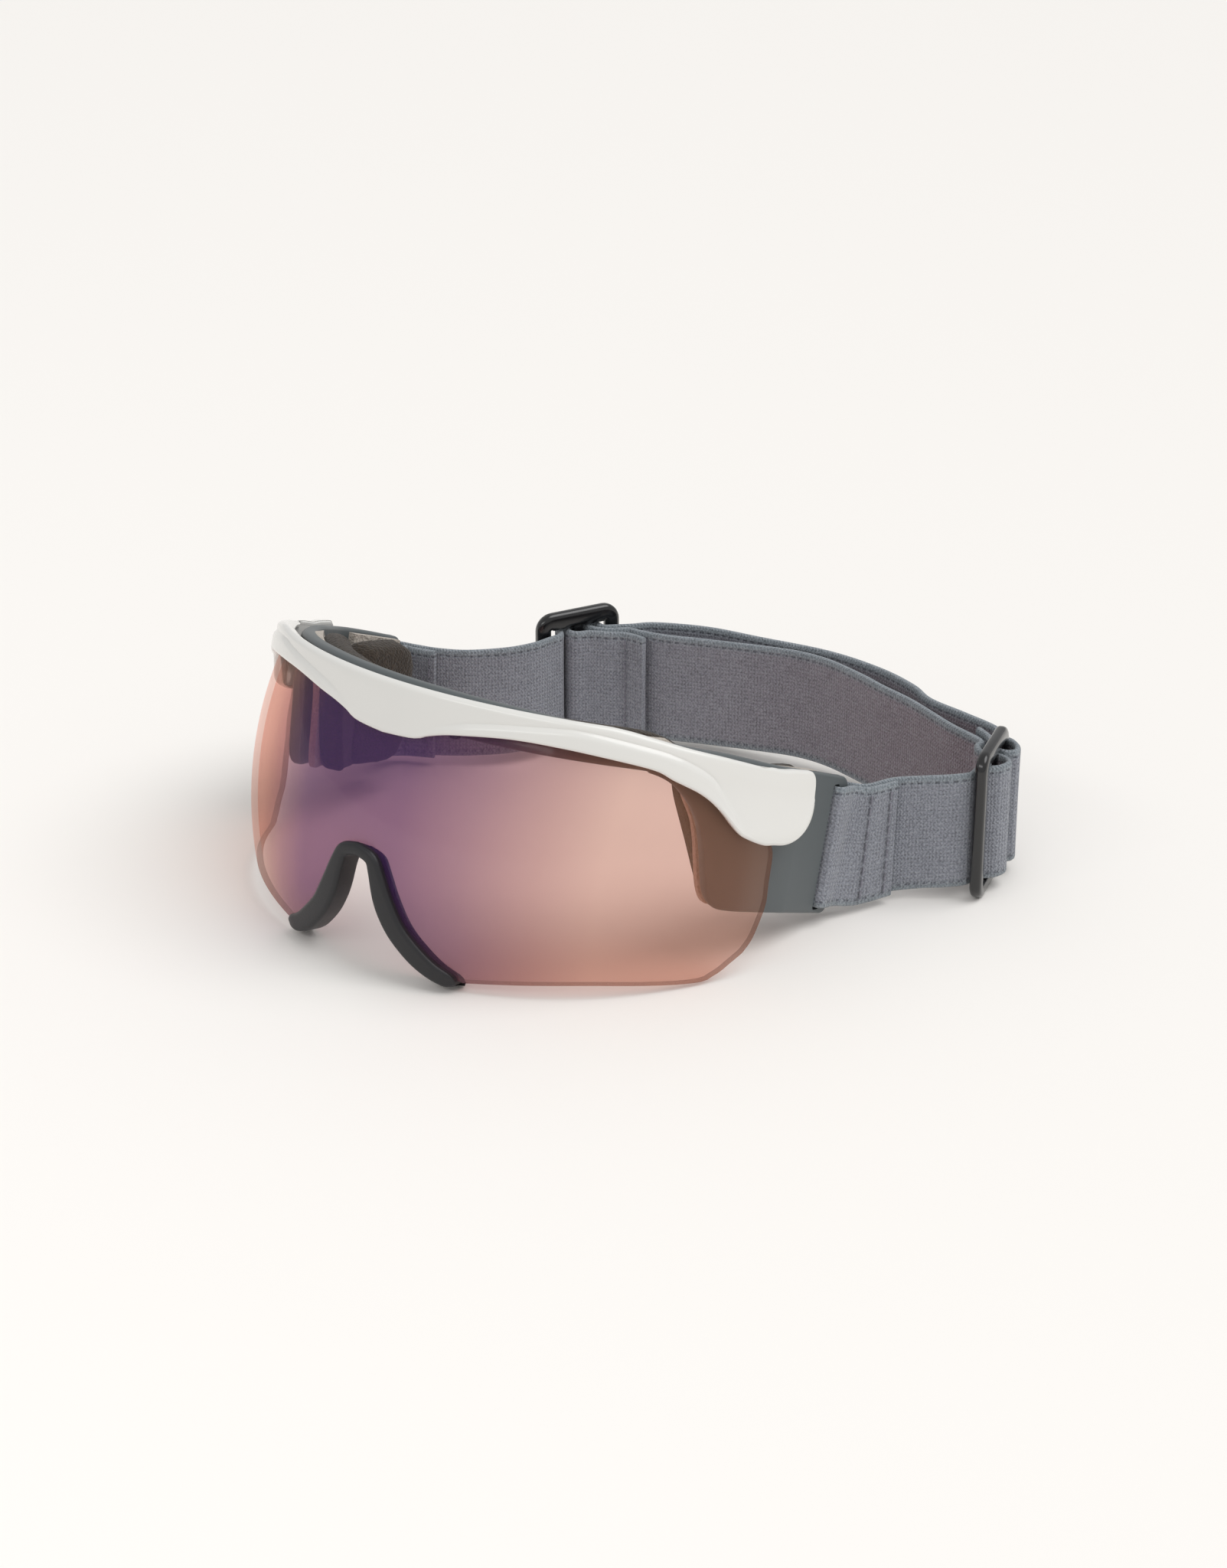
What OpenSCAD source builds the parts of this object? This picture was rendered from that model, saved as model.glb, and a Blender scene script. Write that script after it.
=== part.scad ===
// Flip-up shield visor for sport: a mirrored one-piece lens under a brow frame,
// carried on an inner frame with face foam and held by a doubled elastic strap.
// X is across the face with +X to the wearer's left, -Y is forward, +Z is up.
// The origin lies on the floor in the plane of symmetry, below the origin of the leaning
// frame in which y runs back from the face and v runs up.

/* [Stance] */
// Height of the leaning frame's origin above the floor
stand_z = 42.2; // [42.2:0.1:44]
// Backward lean of the lens and the inner frame, in degrees
lean = 15; // [14:0.5:15]

/* [Lens] */
// Radius of the lens's outer face round the head, at its widest level
lens_r = 78; // [77.8:0.1:78.4]
// Radius of the lens's outer face from top to bottom
lens_bow = 92; // [88:1:100]
// Thickness of the lens
lens_t = 1.6; // [1.2:0.1:1.8]
// Distance of the head axis behind the middle plane of the leaning frame
head_y = 23.2; // [23:0.1:23.6]
// Depth of the lens's lower corner below the frame's origin
lens_drop = 45.5; // [44:0.1:45.5]
// Depth of the nose cut's top below the frame's origin
nose_top = 26.2; // [25:0.2:27]
// Diameter of each pin that holds the lens
pin_d = 2; // [1.6:0.1:2.2]

/* [Brow frame] */
// Radius of the brow's outer face round the head
brow_r = 76.6; // [76.4:0.1:77]
// Height of the brow's top edge above the frame's origin
brow_top = 13.4; // [13:0.1:13.8]
// Thickness of the brow's wall
brow_wall = 2.2; // [1.8:0.1:2.2]
// How far the brow's top shelf reaches back from the wall
shelf = 2.2; // [1.4:0.1:2.2]
// How far the lower lip stands out from the brow's face
lip_out = 0.5; // [0.3:0.1:0.8]
// Radius of a hinge paddle's round end
paddle_r = 9.3; // [8.8:0.1:9.5]

/* [Inner frame] */
// Distance from the middle plane to an arm's outer face
arm_x = 71.6; // [71.2:0.1:71.8]
// Thickness of an arm
arm_t = 3; // [2.6:0.1:3.2]
// Radius of the arms' outer face round the head
frame_r = 72; // [71.8:0.1:72]
// How far the top bar lies inside that face
bar_in = 1.6; // [1.6:0.1:2]
// Height of the top bar's upper edge above the frame's origin
bar_top = 13; // [12.4:0.1:13]
// Distance from the frame's origin to an arm's rear edge
arm_len = 35; // [34.6:0.1:35.4]
// Width of the web behind each strap slot
slot_bar = 3.8; // [3.4:0.1:4.2]
// Width of each strap slot
slot_w = 2.5; // [2.4:0.1:3]

/* [Foam] */
// Thickness of the brow foam
brow_foam_t = 7; // [5:0.5:8]
// Thickness of the temple foam
temple_foam_t = 8; // [6:0.5:9]
// Thickness of the backing behind the foam
backing_t = 2; // [1.5:0.1:2.5]

/* [Nose pad] */
// How far the nose pad stands in front of the lens
pad_front = 2.4; // [1.6:0.2:3]
// How far the nose pad reaches behind the lens
pad_back = 3; // [2:0.2:3]

/* [Hinges] */
// Distance of the hinges behind the middle plane of the leaning frame
pivot_y = 4; // [3.8:0.1:4.4]
// Depth of the hinges below the frame's origin
pivot_drop = 2; // [1.8:0.1:2.4]
// Distance from the middle plane to the paddle's flat hinge face
hinge_x = 71.4; // [71.3:0.1:71.6]
// Thickness of a friction washer
washer_t = 1.2; // [1:0.1:1.3]
// Diameter of a hinge screw's shoulder
shoulder_d = 3.5; // [3:0.1:3.8]
// Running clearance round the shoulder, on the radius
hinge_play = 0.05; // [0.03:0.01:0.1]
// Diameter of a screw's head
head_d = 6; // [5.4:0.1:6.6]
// Diameter of the threaded inserts
insert_d = 4; // [3.6:0.1:4.6]
// Radius of the flat boss round each hinge
boss_r = 6.6; // [6.2:0.1:6.8]

/* [Strap] */
// Width of the webbing
strap_w = 30; // [28:0.5:30]
// Thickness of the webbing
strap_t = 1.6; // [1.2:0.1:1.7]
// Height of the webbing's lower edge above the floor, at the sliders
strap_z = 3.4; // [3.2:0.1:3.8]
// Height of a slider
slider_h = 38.5; // [37:0.1:40]
// Distance from a slider's middle bar to its end bars
bar_pitch = 9.4; // [9.2:0.1:10]
// Width of a slider's bars
bar_w = 2.8; // [2.4:0.1:3]
// Thickness of a slider
slider_t = 3; // [2.6:0.1:3]
// Height of a slider's bottom bridge
bridge_h = 3; // [2.6:0.1:3]
// Height of a slider's top bridge
bridge_top = 4; // [3:0.1:4]
// How much wider than the middle bar each end bar is
rim_w = 0.7; // [0:0.1:1]

/* [Hidden] */
$fn = 96;

fit = 0.1;          // gap between seated faces
soft = 0.3;         // gap round the webbing
far = 120;          // reach of the cutting prisms
widest = -19.8;      // level of the lens's widest radius
white = [0.88, 0.88, 0.86];
grey = [0.38, 0.41, 0.42];
dark = [0.15, 0.15, 0.16];
web = [0.45, 0.45, 0.49];
brass = [0.78, 0.64, 0.36];

boss_x = hinge_x - washer_t - 2 * fit;
strap_mid = strap_z + strap_w / 2;
arm_strap_v = -15.6;
wrap_x = soft + strap_t / 2;
arm_top = 4.6;
arm_top_rear = 1.6;

// Smooth open curve through the points p, with n steps to a span
function knot(p, i) = p[max(0, min(len(p) - 1, i))];
function cubic(a, b, c, d, t) =
  0.5 * (2 * b + (c - a) * t + (2 * a - 5 * b + 4 * c - d) * t * t + (3 * b - a - 3 * c + d) * t * t * t);
function curve(p, n) = concat(
  [for (i = [0:len(p) - 2]) for (k = [0:n - 1])
    cubic(knot(p, i - 1), knot(p, i), knot(p, i + 1), knot(p, i + 2), k / n)],
  [knot(p, len(p) - 1)]);
function flip(p) = [for (i = [len(p) - 1:-1:0]) [-p[i][0], p[i][1]]];
function both(p) = concat(p, flip(p));

// Radius of the lens's outer face at level v
function bow(v) = lens_r - (lens_bow - sqrt(lens_bow * lens_bow - (v - widest) * (v - widest)));

// Outlines as seen from the front: right half from the middle outwards, in x and v
low_v = -lens_drop;
lens_low = curve([[26, low_v - 7.4], [38.9, low_v - 4.8], [52, low_v - 2.2], [66, low_v]], 4);
lens_side = curve([[66, low_v], [69.2, low_v + 2.2], [71.8, low_v + 6.6], [73.8, -33.3], [74.9, -26],
  [75, -20], [74.8, -13.8], [74.2, -10.2]], 4);
lens_up = curve([[74.2, -10.2], [71.4, -9], [70, -6.4], [68.6, -2.8], [66, 1.4], [60, 6.4], [48, 9.3],
  [30, 9.4], [20, 8.4], [12, 6.2], [0, 5]], 4);
brow_low = curve([[0, 0.8], [8.7, 1.5], [12.7, 3], [19, 4.8], [31, 6.7], [41.5, 6.9], [51, 6.1],
  [58, 4.8], [61, 2.9], [65, 0.2], [67.5, -3.1], [69.8, -8], [71, -9.4]], 4);
crease = curve([[0, 1.6], [8.7, 2.4], [15.6, 5.1], [22.3, 7.2], [30.8, 8.8], [41.3, 10.2], [46.4, 10.4],
  [58.1, 8.4], [63.3, 6], [66.7, 2.5], [69, -3.8], [71, -9.4]], 4);
brow_high = curve([[76, brow_top - 9.2], [74.9, brow_top - 7.4], [72, brow_top - 6], [62.7, brow_top - 3],
  [57.8, brow_top - 1.6], [52, brow_top - 0.3], [44, brow_top], [0, brow_top]], 4);
bar_high = curve([[0, bar_top - 0.2], [15, bar_top - 0.3], [30, bar_top - 0.7], [40, bar_top - 1.3],
  [50, bar_top - 2.2], [60, bar_top - 3.8], [65, bar_top - 4.8], [68, bar_top - 6],
  [72, bar_top - 8]], 4);
bar_low = curve([[72, -29.2], [67.4, -28.9], [65.2, -26.4], [64, -12], [62, -3], [57, 1.6], [50, 3],
  [0, 3]], 4);

// Nose opening, grown outwards by g
function nose(g) = curve([[0, -nose_top + g], [4.2 + 0.7 * g, -nose_top - 1 + 0.7 * g],
  [6.2 + g, -31], [9.3 + g, -37], [13 + g, -43 + 0.3 * g], [17.4 + 0.7 * g, -47.6 + 0.6 * g],
  [21 + 0.5 * g, -50.6 + 0.8 * g], [26.6, low_v - 7.4 + g]], 4);
pad_inner = curve([[0, -nose_top - 2.4], [2.6, -nose_top - 3.4], [4, -34], [6, -40], [9.2, -46.4],
  [13, -50.4], [19, -52.4], [24.6, -53.6]], 4);
pad_outer = nose(1.8);

// Places everything that leans with the lens
module leaning() {
  translate([0, 0, stand_z]) rotate([-lean, 0, 0]) children();
}
function leant(x, y, v) =
  [x, y * cos(lean) + v * sin(lean), -y * sin(lean) + v * cos(lean) + stand_z];

// Prism forward of the head axis through a front outline, and a ring round that axis
// from a section in r and v
module front(points) {
  translate([0, head_y, 0]) rotate([90, 0, 0]) linear_extrude(height = 2 * far) polygon(points);
}
module ring(section) {
  translate([0, head_y, 0]) rotate([0, 0, -180]) rotate_extrude($fn = 180) polygon(section);
}
// Shell that follows the lens's bow, from offset a out to offset b
module bowed(a, b, v0, v1, steps = 11) {
  ring(concat([for (i = [0:steps]) let (v = v0 + (v1 - v0) * i / steps) [bow(v) + b, v]],
    [for (i = [steps:-1:0]) let (v = v0 + (v1 - v0) * i / steps) [bow(v) + a, v]]));
}
module outside(points) {
  difference() {
    translate([-far, -far, -2 * far]) cube([2 * far, 2 * far, 4 * far]);
    front(points);
  }
}
// Cylinder along X from x0 to x1 on the flip axis
module on_axis(x0, x1, r) {
  translate([x0, pivot_y, -pivot_drop]) rotate([0, 90, 0]) cylinder(h = x1 - x0, r = r);
}
// Everything in front of the level y
module ahead(y) {
  translate([-far, -far, -far]) cube([2 * far, far + y, 2 * far]);
}
module two_sided() {
  children();
  mirror([1, 0, 0]) children();
}

// Four pins through the lens and into the brow
pin_at = [[-46, 7.9], [-17, 5.6], [17, 5.6], [46, 7.9]];
pin_in = 1.2;
pin_head_t = 0.5;
module at_pin(p) {
  a = asin(p[0] / bow(p[1]));
  translate([0, head_y, p[1]]) rotate([0, 0, a]) translate([0, -bow(p[1]), 0]) rotate([90, 0, 0])
    children();
}
pin_lean = atan((bow(6) - bow(9)) / 3);
module pins(r, head) {
  for (p = pin_at) at_pin(p) rotate([-pin_lean, 0, 0]) {
    translate([0, 0, -lens_t - fit]) cylinder(h = lens_t + fit + pin_in, r = r);
    if (head) translate([0, 0, -lens_t - fit - pin_head_t]) cylinder(h = pin_head_t, r = 2 * r);
  }
}

module lens() {
  color([0.6, 0.45, 0.5]) leaning() difference() {
    intersection() {
      bowed(-lens_t, 0, -56, 11);
      front(both(concat(lens_low, lens_side, lens_up)));
    }
    front(both(concat(nose(0), [[28, -70], [0, -70]])));
    pins(pin_d / 2 + fit, false);
  }
}

// Brow: a wall with a shelf along its top, a lower lip and a paddle at each end
low_out = 1.8;
module wall(rear) {
  ring([[rear, -14], [brow_r + low_out, -14], [brow_r + 1.2, -6], [brow_r + 0.5, -1], [brow_r, 4],
    [brow_r, 9], [brow_r - 0.2, brow_top - 1.2], [brow_r - 0.8, brow_top - 0.3],
    [brow_r - 1.6, brow_top], [brow_r - brow_wall - shelf, brow_top - 1.6],
    [brow_r - brow_wall - shelf, brow_top - 2.6], [brow_r - brow_wall, brow_top - 3.8], [rear, 9]]);
}
module brow_frame() {
  wall_r = brow_r - brow_wall;
  color(white) leaning() difference() {
    union() {
      intersection() {
        wall(wall_r);
        front(both(concat(brow_low, brow_high)));
        ahead(pivot_y);
      }
      intersection() {
        ahead(pivot_y);
        ring([[brow_r - 1.4, -14], [brow_r + low_out, -14], [brow_r + 1.5, -5],
          [brow_r + lip_out, 3], [brow_r + lip_out, 11], [brow_r - 1.4, 11.6]]);
        front(both(concat(brow_low, [for (i = [len(crease) - 1:-1:0]) crease[i]])));
      }
      two_sided() intersection() {
        union() {
          on_axis(60, 90, paddle_r);
          translate([60, 0, 0]) rotate([90, 0, 90]) linear_extrude(height = 30)
            polygon([[pivot_y + 1.5, paddle_r - pivot_drop - 0.2], [-7, 8.2], [-8.5, -8.6],
              [-4, -10.7], [pivot_y - 2, -paddle_r - pivot_drop + 0.1],
              [pivot_y, -paddle_r - pivot_drop]]);
        }
        union() {
          wall(wall_r);
          on_axis(hinge_x, 75.2, boss_r);
        }
        ring([[0, -14], [brow_r + low_out, -14], [brow_r + 1.2, -6], [brow_r + 0.5, -1],
          [brow_r, 4], [brow_r, 10], [0, 10]]);
      }
    }
    bowed(-8, fit, -16, 9);
    pins(pin_d / 2, false);
    two_sided() {
      on_axis(hinge_x - 12, hinge_x, 9);
      on_axis(hinge_x - 1, hinge_x + 2, insert_d / 2);
    }
  }
}

module lens_pins() {
  color(dark) leaning() pins(pin_d / 2, true);
}

module nose_pad() {
  color(dark) leaning() difference() {
    intersection() {
      bowed(-lens_t - pad_back, pad_front, -54, -20, 7);
      front(both(concat(pad_outer, [[26.6, -52.6], [24.6, -53.6]])));
    }
    front(both(concat(pad_inner, [[24.6, -70], [0, -70]])));
    intersection() {
      bowed(-lens_t - fit, fit, -56, -18, 7);
      outside(both(concat(nose(-fit), [[28, -70], [0, -70]])));
    }
  }
}

module inner_frame() {
  rear = frame_r - arm_t;
  bar_r = frame_r - bar_in;
  slot_y = arm_len - slot_bar;
  join_y = head_y - sqrt(frame_r * frame_r - arm_x * arm_x);
  half = strap_w / 2 + 0.5;
  inner = arm_x - arm_t;
  boss_in = boss_x - 3.7;
  color(grey) leaning() difference() {
    union() {
      intersection() {
        ring([[rear, -32], [frame_r, -32], [frame_r, -6], [bar_r, 3], [bar_r, 8],
          [bar_r - 0.5, bar_top - 0.9], [bar_r - 1.4, bar_top], [bar_r - arm_t, bar_top - 0.4],
          [bar_r - arm_t, 3], [rear, -6]]);
        front(both(concat(bar_high, bar_low)));
        ahead(join_y);
      }
      two_sided() {
        translate([inner, 0, 0]) rotate([90, 0, 90]) linear_extrude(height = arm_t)
          polygon([[join_y - 1, arm_top], [arm_len - 3, arm_top_rear], [arm_len - 1, arm_top_rear - 0.6],
            [arm_len, arm_top_rear - 2], [arm_len, arm_strap_v - half - 0.6],
            [arm_len - 1.2, arm_strap_v - half - 1.6], [join_y - 1, -30.2]]);
        on_axis(boss_in, boss_x, boss_r);
      }
    }
    two_sided() {
      on_axis(boss_in - 6, boss_x + 6, shoulder_d / 2 + hinge_play);
      on_axis(boss_in - 6, boss_in + 1.3, head_d / 2 + soft);
      difference() {
        on_axis(boss_x, boss_x + 6, boss_r + 3.4);
        translate([0, pivot_y + boss_r + 0.4, -far]) cube([far, far, 2 * far]);
      }
      translate([inner - 1, slot_y - slot_w, arm_strap_v - half]) cube([arm_t + 2, slot_w, 2 * half]);
    }
  }
}

// Foam pads with a crowned face and drawn-in ends
module brow_backing() {
  out = frame_r - bar_in - arm_t - fit;
  color([0.55, 0.52, 0.48]) leaning() intersection() {
    ring([[out - backing_t, -5], [out, -5], [out, 12], [out - backing_t, 12]]);
    front([[-57, 4.4], [-55, 3.2], [55, 3.2], [57, 4.4], [57, 6], [52, 10], [-52, 10], [-57, 6]]);
  }
}
module brow_foam() {
  out = frame_r - bar_in - arm_t - backing_t - 2 * fit;
  mid = 6.5;
  tall = 8.2;
  crown = [for (a = [-90:15:90]) [out - brow_foam_t + 3.2 * (1 - cos(a)), mid + tall / 2 * sin(a)]];
  color([0.24, 0.2, 0.18]) leaning() intersection() {
    ring(concat(crown, [[out, mid + tall / 2], [out, mid - tall / 2]]));
    front(concat([for (a = [-90:15:90]) [47 + 9 * cos(a), mid + (tall / 2 + 0.1) * sin(a)]],
      [for (a = [90:15:270]) [-47 + 9 * cos(a), mid + (tall / 2 + 0.1) * sin(a)]]));
  }
}
foam_y0 = 4;
foam_y1 = 28.5;
foam_v0 = -29;
foam_v1 = 1.6;
backing_low_v = -1.5;
backing_step_y = 10.6;
spacer_y = 15.8;
backing_x = arm_x - arm_t - 2.5;
module foam_backing() {
  color([0.72, 0.7, 0.66]) leaning() {
    translate([backing_x - backing_t, foam_y0 + 1, foam_v0 - 0.5])
      cube([backing_t, foam_y1 - foam_y0 - 0.5, backing_low_v - foam_v0 + 0.5]);
    translate([backing_x - backing_t, 0, 0]) rotate([90, 0, 90]) linear_extrude(height = backing_t)
      polygon([[backing_step_y, backing_low_v - 0.5], [foam_y1 + 0.5, backing_low_v - 0.5],
        [foam_y1 + 0.5, arm_top_rear + 0.2], [backing_step_y, arm_top]]);
    translate([backing_x - 0.5, spacer_y, -26])
      cube([arm_x - arm_t - fit - backing_x + 0.5, arm_len - slot_bar - slot_w - 1 - spacer_y, 22]);
  }
}
module temple_foam() {
  x1 = backing_x - backing_t - fit;
  steps = 8;
  function side(u) = 0.5 - 0.5 * cos(180 * u);
  layers = [[0, 0], [0.25, -0.4], [0.55, 0.1], [0.8, 1.4], [0.95, 3.4], [1, 6]];
  rings = [for (l = layers) [for (c = [0:3]) for (k = [0:steps - 1])
    let (
      r = 3.5,
      a = 90 * c + 90 * k / (steps - 1),
      yc = (c == 0 || c == 3) ? foam_y1 - l[1] - r : foam_y0 + l[1] + r,
      vc = c < 2 ? foam_v1 - l[1] - r : foam_v0 + l[1] + r)
    [x1 - temple_foam_t * l[0], yc + r * cos(a), vc + r * sin(a)]]];
  n = 4 * steps;
  points = concat([for (ring = rings) for (p = ring) p]);
  last = (len(layers) - 1) * n;
  faces = concat([for (j = [0:len(layers) - 2]) for (i = [0:n - 1]) each [
      [j * n + i, (j + 1) * n + i, j * n + (i + 1) % n],
      [j * n + (i + 1) % n, (j + 1) * n + i, (j + 1) * n + (i + 1) % n]]],
    [[for (i = [0:n - 1]) i], [for (i = [n - 1:-1:0]) last + i]]);
  color([0.24, 0.2, 0.18]) leaning() polyhedron(points = points, faces = faces, convexity = 4);
}

// Hinge: a shoulder screw from inside, a friction washer and an insert in the paddle
module hinge_screw() {
  head_x = boss_x - 3.7 + 1.3 - fit;
  color(brass) leaning() {
    on_axis(head_x - 1.1, head_x, head_d / 2);
    on_axis(head_x - 0.1, hinge_x, shoulder_d / 2);
    on_axis(hinge_x - 0.1, hinge_x + 1.8, shoulder_d / 2 - 0.6);
  }
}
module hinge_insert() {
  color(brass) leaning() difference() {
    on_axis(hinge_x + fit, hinge_x + 2, insert_d / 2);
    on_axis(hinge_x - 1, hinge_x + 3, shoulder_d / 2 - 0.6);
  }
}
module friction_washer() {
  color(dark) leaning() difference() {
    on_axis(boss_x + fit, boss_x + fit + washer_t, boss_r - 1);
    on_axis(boss_x - 1, hinge_x + 1, shoulder_d / 2 + hinge_play);
  }
}

// Sliders: place, heading along the strap and side, +1 on the wearer's left
left_at = [91.7, 65.4];
left_turn = 107.9;
right_at = [-38.3, 69.4];
right_turn = 65.4;
function local(at, turn, side, s, o, z = strap_mid, tip = 0) = [
  at[0] + s * cos(turn) + side * o * sin(turn),
  at[1] + s * sin(turn) - side * o * cos(turn), z, tip];
function on_left(s, o) = local(left_at, left_turn, 1, s, o);
function on_right(s, o) = local(right_at, right_turn, -1, s, o);

module slider() {
  half = bar_pitch + bar_w / 2 + rim_w;
  corner = 4.4;
  module bar(s, wide) {
    linear_extrude(height = slider_h) {
      translate([s - wide / 2, 0.6 - slider_t / 2]) square([wide, slider_t - 1.2]);
      for (x = [-1, 1]) for (y = [-1, 1])
        translate([s + x * (wide / 2 - 0.6), y * (slider_t / 2 - 0.6)]) circle(r = 0.6, $fn = 24);
      translate([s + 0.6 - wide / 2, -slider_t / 2]) square([wide - 1.2, slider_t]);
    }
  }
  color([0.14, 0.14, 0.15]) intersection() {
    union() {
      bar(0, bar_w);
      for (side = [-1, 1]) bar(side * (bar_pitch + rim_w / 2), bar_w + rim_w);
      translate([-half, -slider_t / 2, 0]) cube([2 * half, slider_t, bridge_h]);
      translate([-half, -slider_t / 2, slider_h - bridge_top]) cube([2 * half, slider_t, bridge_top]);
    }
    rotate([90, 0, 0]) linear_extrude(height = 10, center = true) union() {
      translate([corner - half, 0]) square([2 * (half - corner), slider_h]);
      translate([-half, corner]) square([2 * half, slider_h - 2 * corner]);
      for (x = [-1, 1]) for (z = [corner, slider_h - corner])
        translate([x * (half - corner), z]) circle(r = corner, $fn = 48);
    }
  }
}
module slider_left() {
  translate([left_at[0], left_at[1], 0]) rotate([0, 0, left_turn]) slider();
}
module slider_right() {
  translate([right_at[0], right_at[1], 0]) rotate([0, 0, right_turn]) slider();
}

// Webbing route stations: x, y, z of the middle line and the lean of its width
slot_mid = arm_len - slot_bar - wrap_x;
function at_arm(side, x, y) = let (p = leant(side * x, y, arm_strap_v)) [p[0], p[1], p[2], lean];
in_x = arm_x - arm_t - wrap_x;
out_x = arm_x + wrap_x;
function arm_loop(side) = [
  at_arm(side, in_x, arm_len + 0.9),
  at_arm(side, in_x, slot_mid + 2.7),
  at_arm(side, in_x + 0.1, slot_mid + 1),
  at_arm(side, in_x + 0.7, slot_mid + 0.15),
  at_arm(side, in_x + 1.7, slot_mid),
  at_arm(side, out_x - 1.7, slot_mid),
  at_arm(side, out_x - 0.7, slot_mid + 0.15),
  at_arm(side, out_x - 0.1, slot_mid + 1),
  at_arm(side, out_x, slot_mid + 2.7),
  at_arm(side, out_x, arm_len + 0.9)];
ply = strap_t + 0.3;
function reversed(p) = [for (i = [len(p) - 1:-1:0]) p[i]];
flap_left = [[79, 42.6, 17.1, 3], [75.3, 35.1, 16.8, 9]];
front_left = [[75.3 - ply * 0.93, 35.1 + ply * 0.37, 16.8, 9], [79 - ply * 0.83, 42.6 + ply * 0.56, 17.1, 3],
  [83.7 - ply * 0.35, 47.6 + ply * 0.35, 17.7, 0], [88.2, 51.7, 18.2, 0]];
front_right = [[-70.9, 33.1, 17.3, 11], [-66.3, 34.9, 17.2, 7], [-59.5, 37.1, 17.4, 3], [-52, 40.8, 17.8, 0],
  [-44.4, 47.5, 18.2, 0], [-40.6, 54, 18.4, 0]];
flap_right = [[-59.5 + ply * 0.37, 37.1 - ply * 0.93, 17.4, 3],
  [-66.3 + ply * 0.33, 34.9 - ply * 0.95, 17.2, 7]];
inner_back = [[83.2, 73.6], [72.4, 77], [57.2, 83.2], [46.5, 86.2], [37.9, 89], [26.5, 91.6],
  [17, 91.4], [6.9, 88.3], [-8, 82.6], [-17, 79], [-24.6, 77.4]];
outer_back = [[-23.4, 84.5], [-10.9, 90.2], [3.7, 92.9], [22.9, 96.2], [39.5, 95.1], [52.2, 91.3],
  [60.4, 86.7], [71.6, 84.6], [82.2, 82.3]];
function level(p) = [for (q = p) [q[0], q[1], strap_mid, 0]];
fold_left = [on_left(14.6, -1.5), on_left(12.8, 1.7), on_left(10, 3.8), on_left(7.4, 4.2),
  on_left(6.1, 2.4), on_left(6.3, 0), on_left(6.7, -1.8), on_left(8.2, -2.8), on_left(11, -3),
  on_left(13.4, -4), on_left(17, -7.6)];
run_left = [on_left(-bar_pitch, -3), on_left(-6.4, -2.1), on_left(-4.4, 0.4), on_left(-2.9, 2.7),
  on_left(0, 4.1), on_left(2.4, 2.9), on_left(3.3, 0.8), on_left(3.6, -1.6), on_left(4.6, -4),
  on_left(7.2, -5.4)];
run_right = [on_right(-bar_pitch, -3), on_right(-6.4, -2.2), on_right(-4.8, 0.2),
  on_right(-4.4, 2.6), on_right(-2.6, 4.5), on_right(0, 4.9), on_right(3, 4.6), on_right(5.2, 2.6),
  on_right(6.1, 0.2), on_right(6.8, -2.2), on_right(bar_pitch, -3.4), on_right(13.6, -5)];
fold_right = [on_right(11.6, -6.8), on_right(7, -4.8), on_right(4.6, -2.8), on_right(3.1, -0.4),
  on_right(2.6, 1.6), on_right(1.3, 2.7), on_right(-1.2, 2.7), on_right(-2.6, 1.4),
  on_right(-2.7, -1.4), on_right(-1.3, -3), on_right(1.4, -3.7), on_right(3.6, -5.2),
  on_right(5.8, -7), on_right(9.6, -9.6), on_right(12, -14.6)];
left_route = concat(flap_left, reversed(arm_loop(1)), front_left, run_left, level(inner_back), fold_right);
right_route = concat(flap_right, arm_loop(-1), front_right, run_right, level(outer_back), fold_left);

function unit(v) = v / norm(v);
// Flat band with a rectangular section swept along the stations of a route
module band(route, steps) {
  path = curve(route, steps);
  n = len(path);
  points = [for (i = [0:n - 1])
    let (
      a = path[max(0, i - 1)],
      b = path[min(n - 1, i + 1)],
      p = path[i],
      along = unit([b[0] - a[0], b[1] - a[1], b[2] - a[2]]),
      rise = [0, sin(p[3]), cos(p[3])],
      thick = unit(cross(along, rise)))
    for (c = [[1, 1], [1, -1], [-1, -1], [-1, 1]])
      [p[0], p[1], p[2]] + c[0] * rise * strap_w / 2 + c[1] * thick * strap_t / 2];
  faces = concat([for (i = [0:n - 2]) for (k = [0:3]) let (j = (k + 1) % 4) each [
      [4 * i + k, 4 * i + j, 4 * i + 4 + k],
      [4 * i + j, 4 * i + 4 + j, 4 * i + 4 + k]]],
    [[3, 2, 1, 0], [for (k = [0:3]) 4 * n - 4 + k]]);
  polyhedron(points = points, faces = faces, convexity = 10);
}
module strap_left() {
  color(web) band(left_route, 3);
}
module strap_right() {
  color(web) band(right_route, 3);
}

// Rows of short thread runs, standing along the webbing's width at a place on its face
thread = 0.4;
module seam(p, heading, face) {
  count = 9;
  pitch = (strap_w - 3) / count;
  color([0.7, 0.69, 0.7]) translate([p[0], p[1], p[2]]) rotate([-p[3], 0, 0]) rotate([0, 0, heading])
    for (i = [0:count - 1])
      translate([0, face * (strap_t / 2 + 2 * fit + thread / 2), (i + 0.5 - count / 2) * pitch])
        cube([thread, thread, 0.7 * pitch], center = true);
}
module arm_stitches_left() {
  seam(flap_left[1], 73, -1);
  seam(0.75 * flap_left[0] + 0.25 * flap_left[1], 60, -1);
}
module arm_stitches_right() {
  seam(0.8 * flap_right[0] + 0.2 * flap_right[1], 20, -1);
  seam(flap_right[1], 29, -1);
}
module fold_stitches_left() {
  seam(on_left(14.6, -1.5), left_turn + 42, -1);
}
module fold_stitches_right() {
  seam(on_right(9.6, -9.6), right_turn - 51, -1);
}

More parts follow.
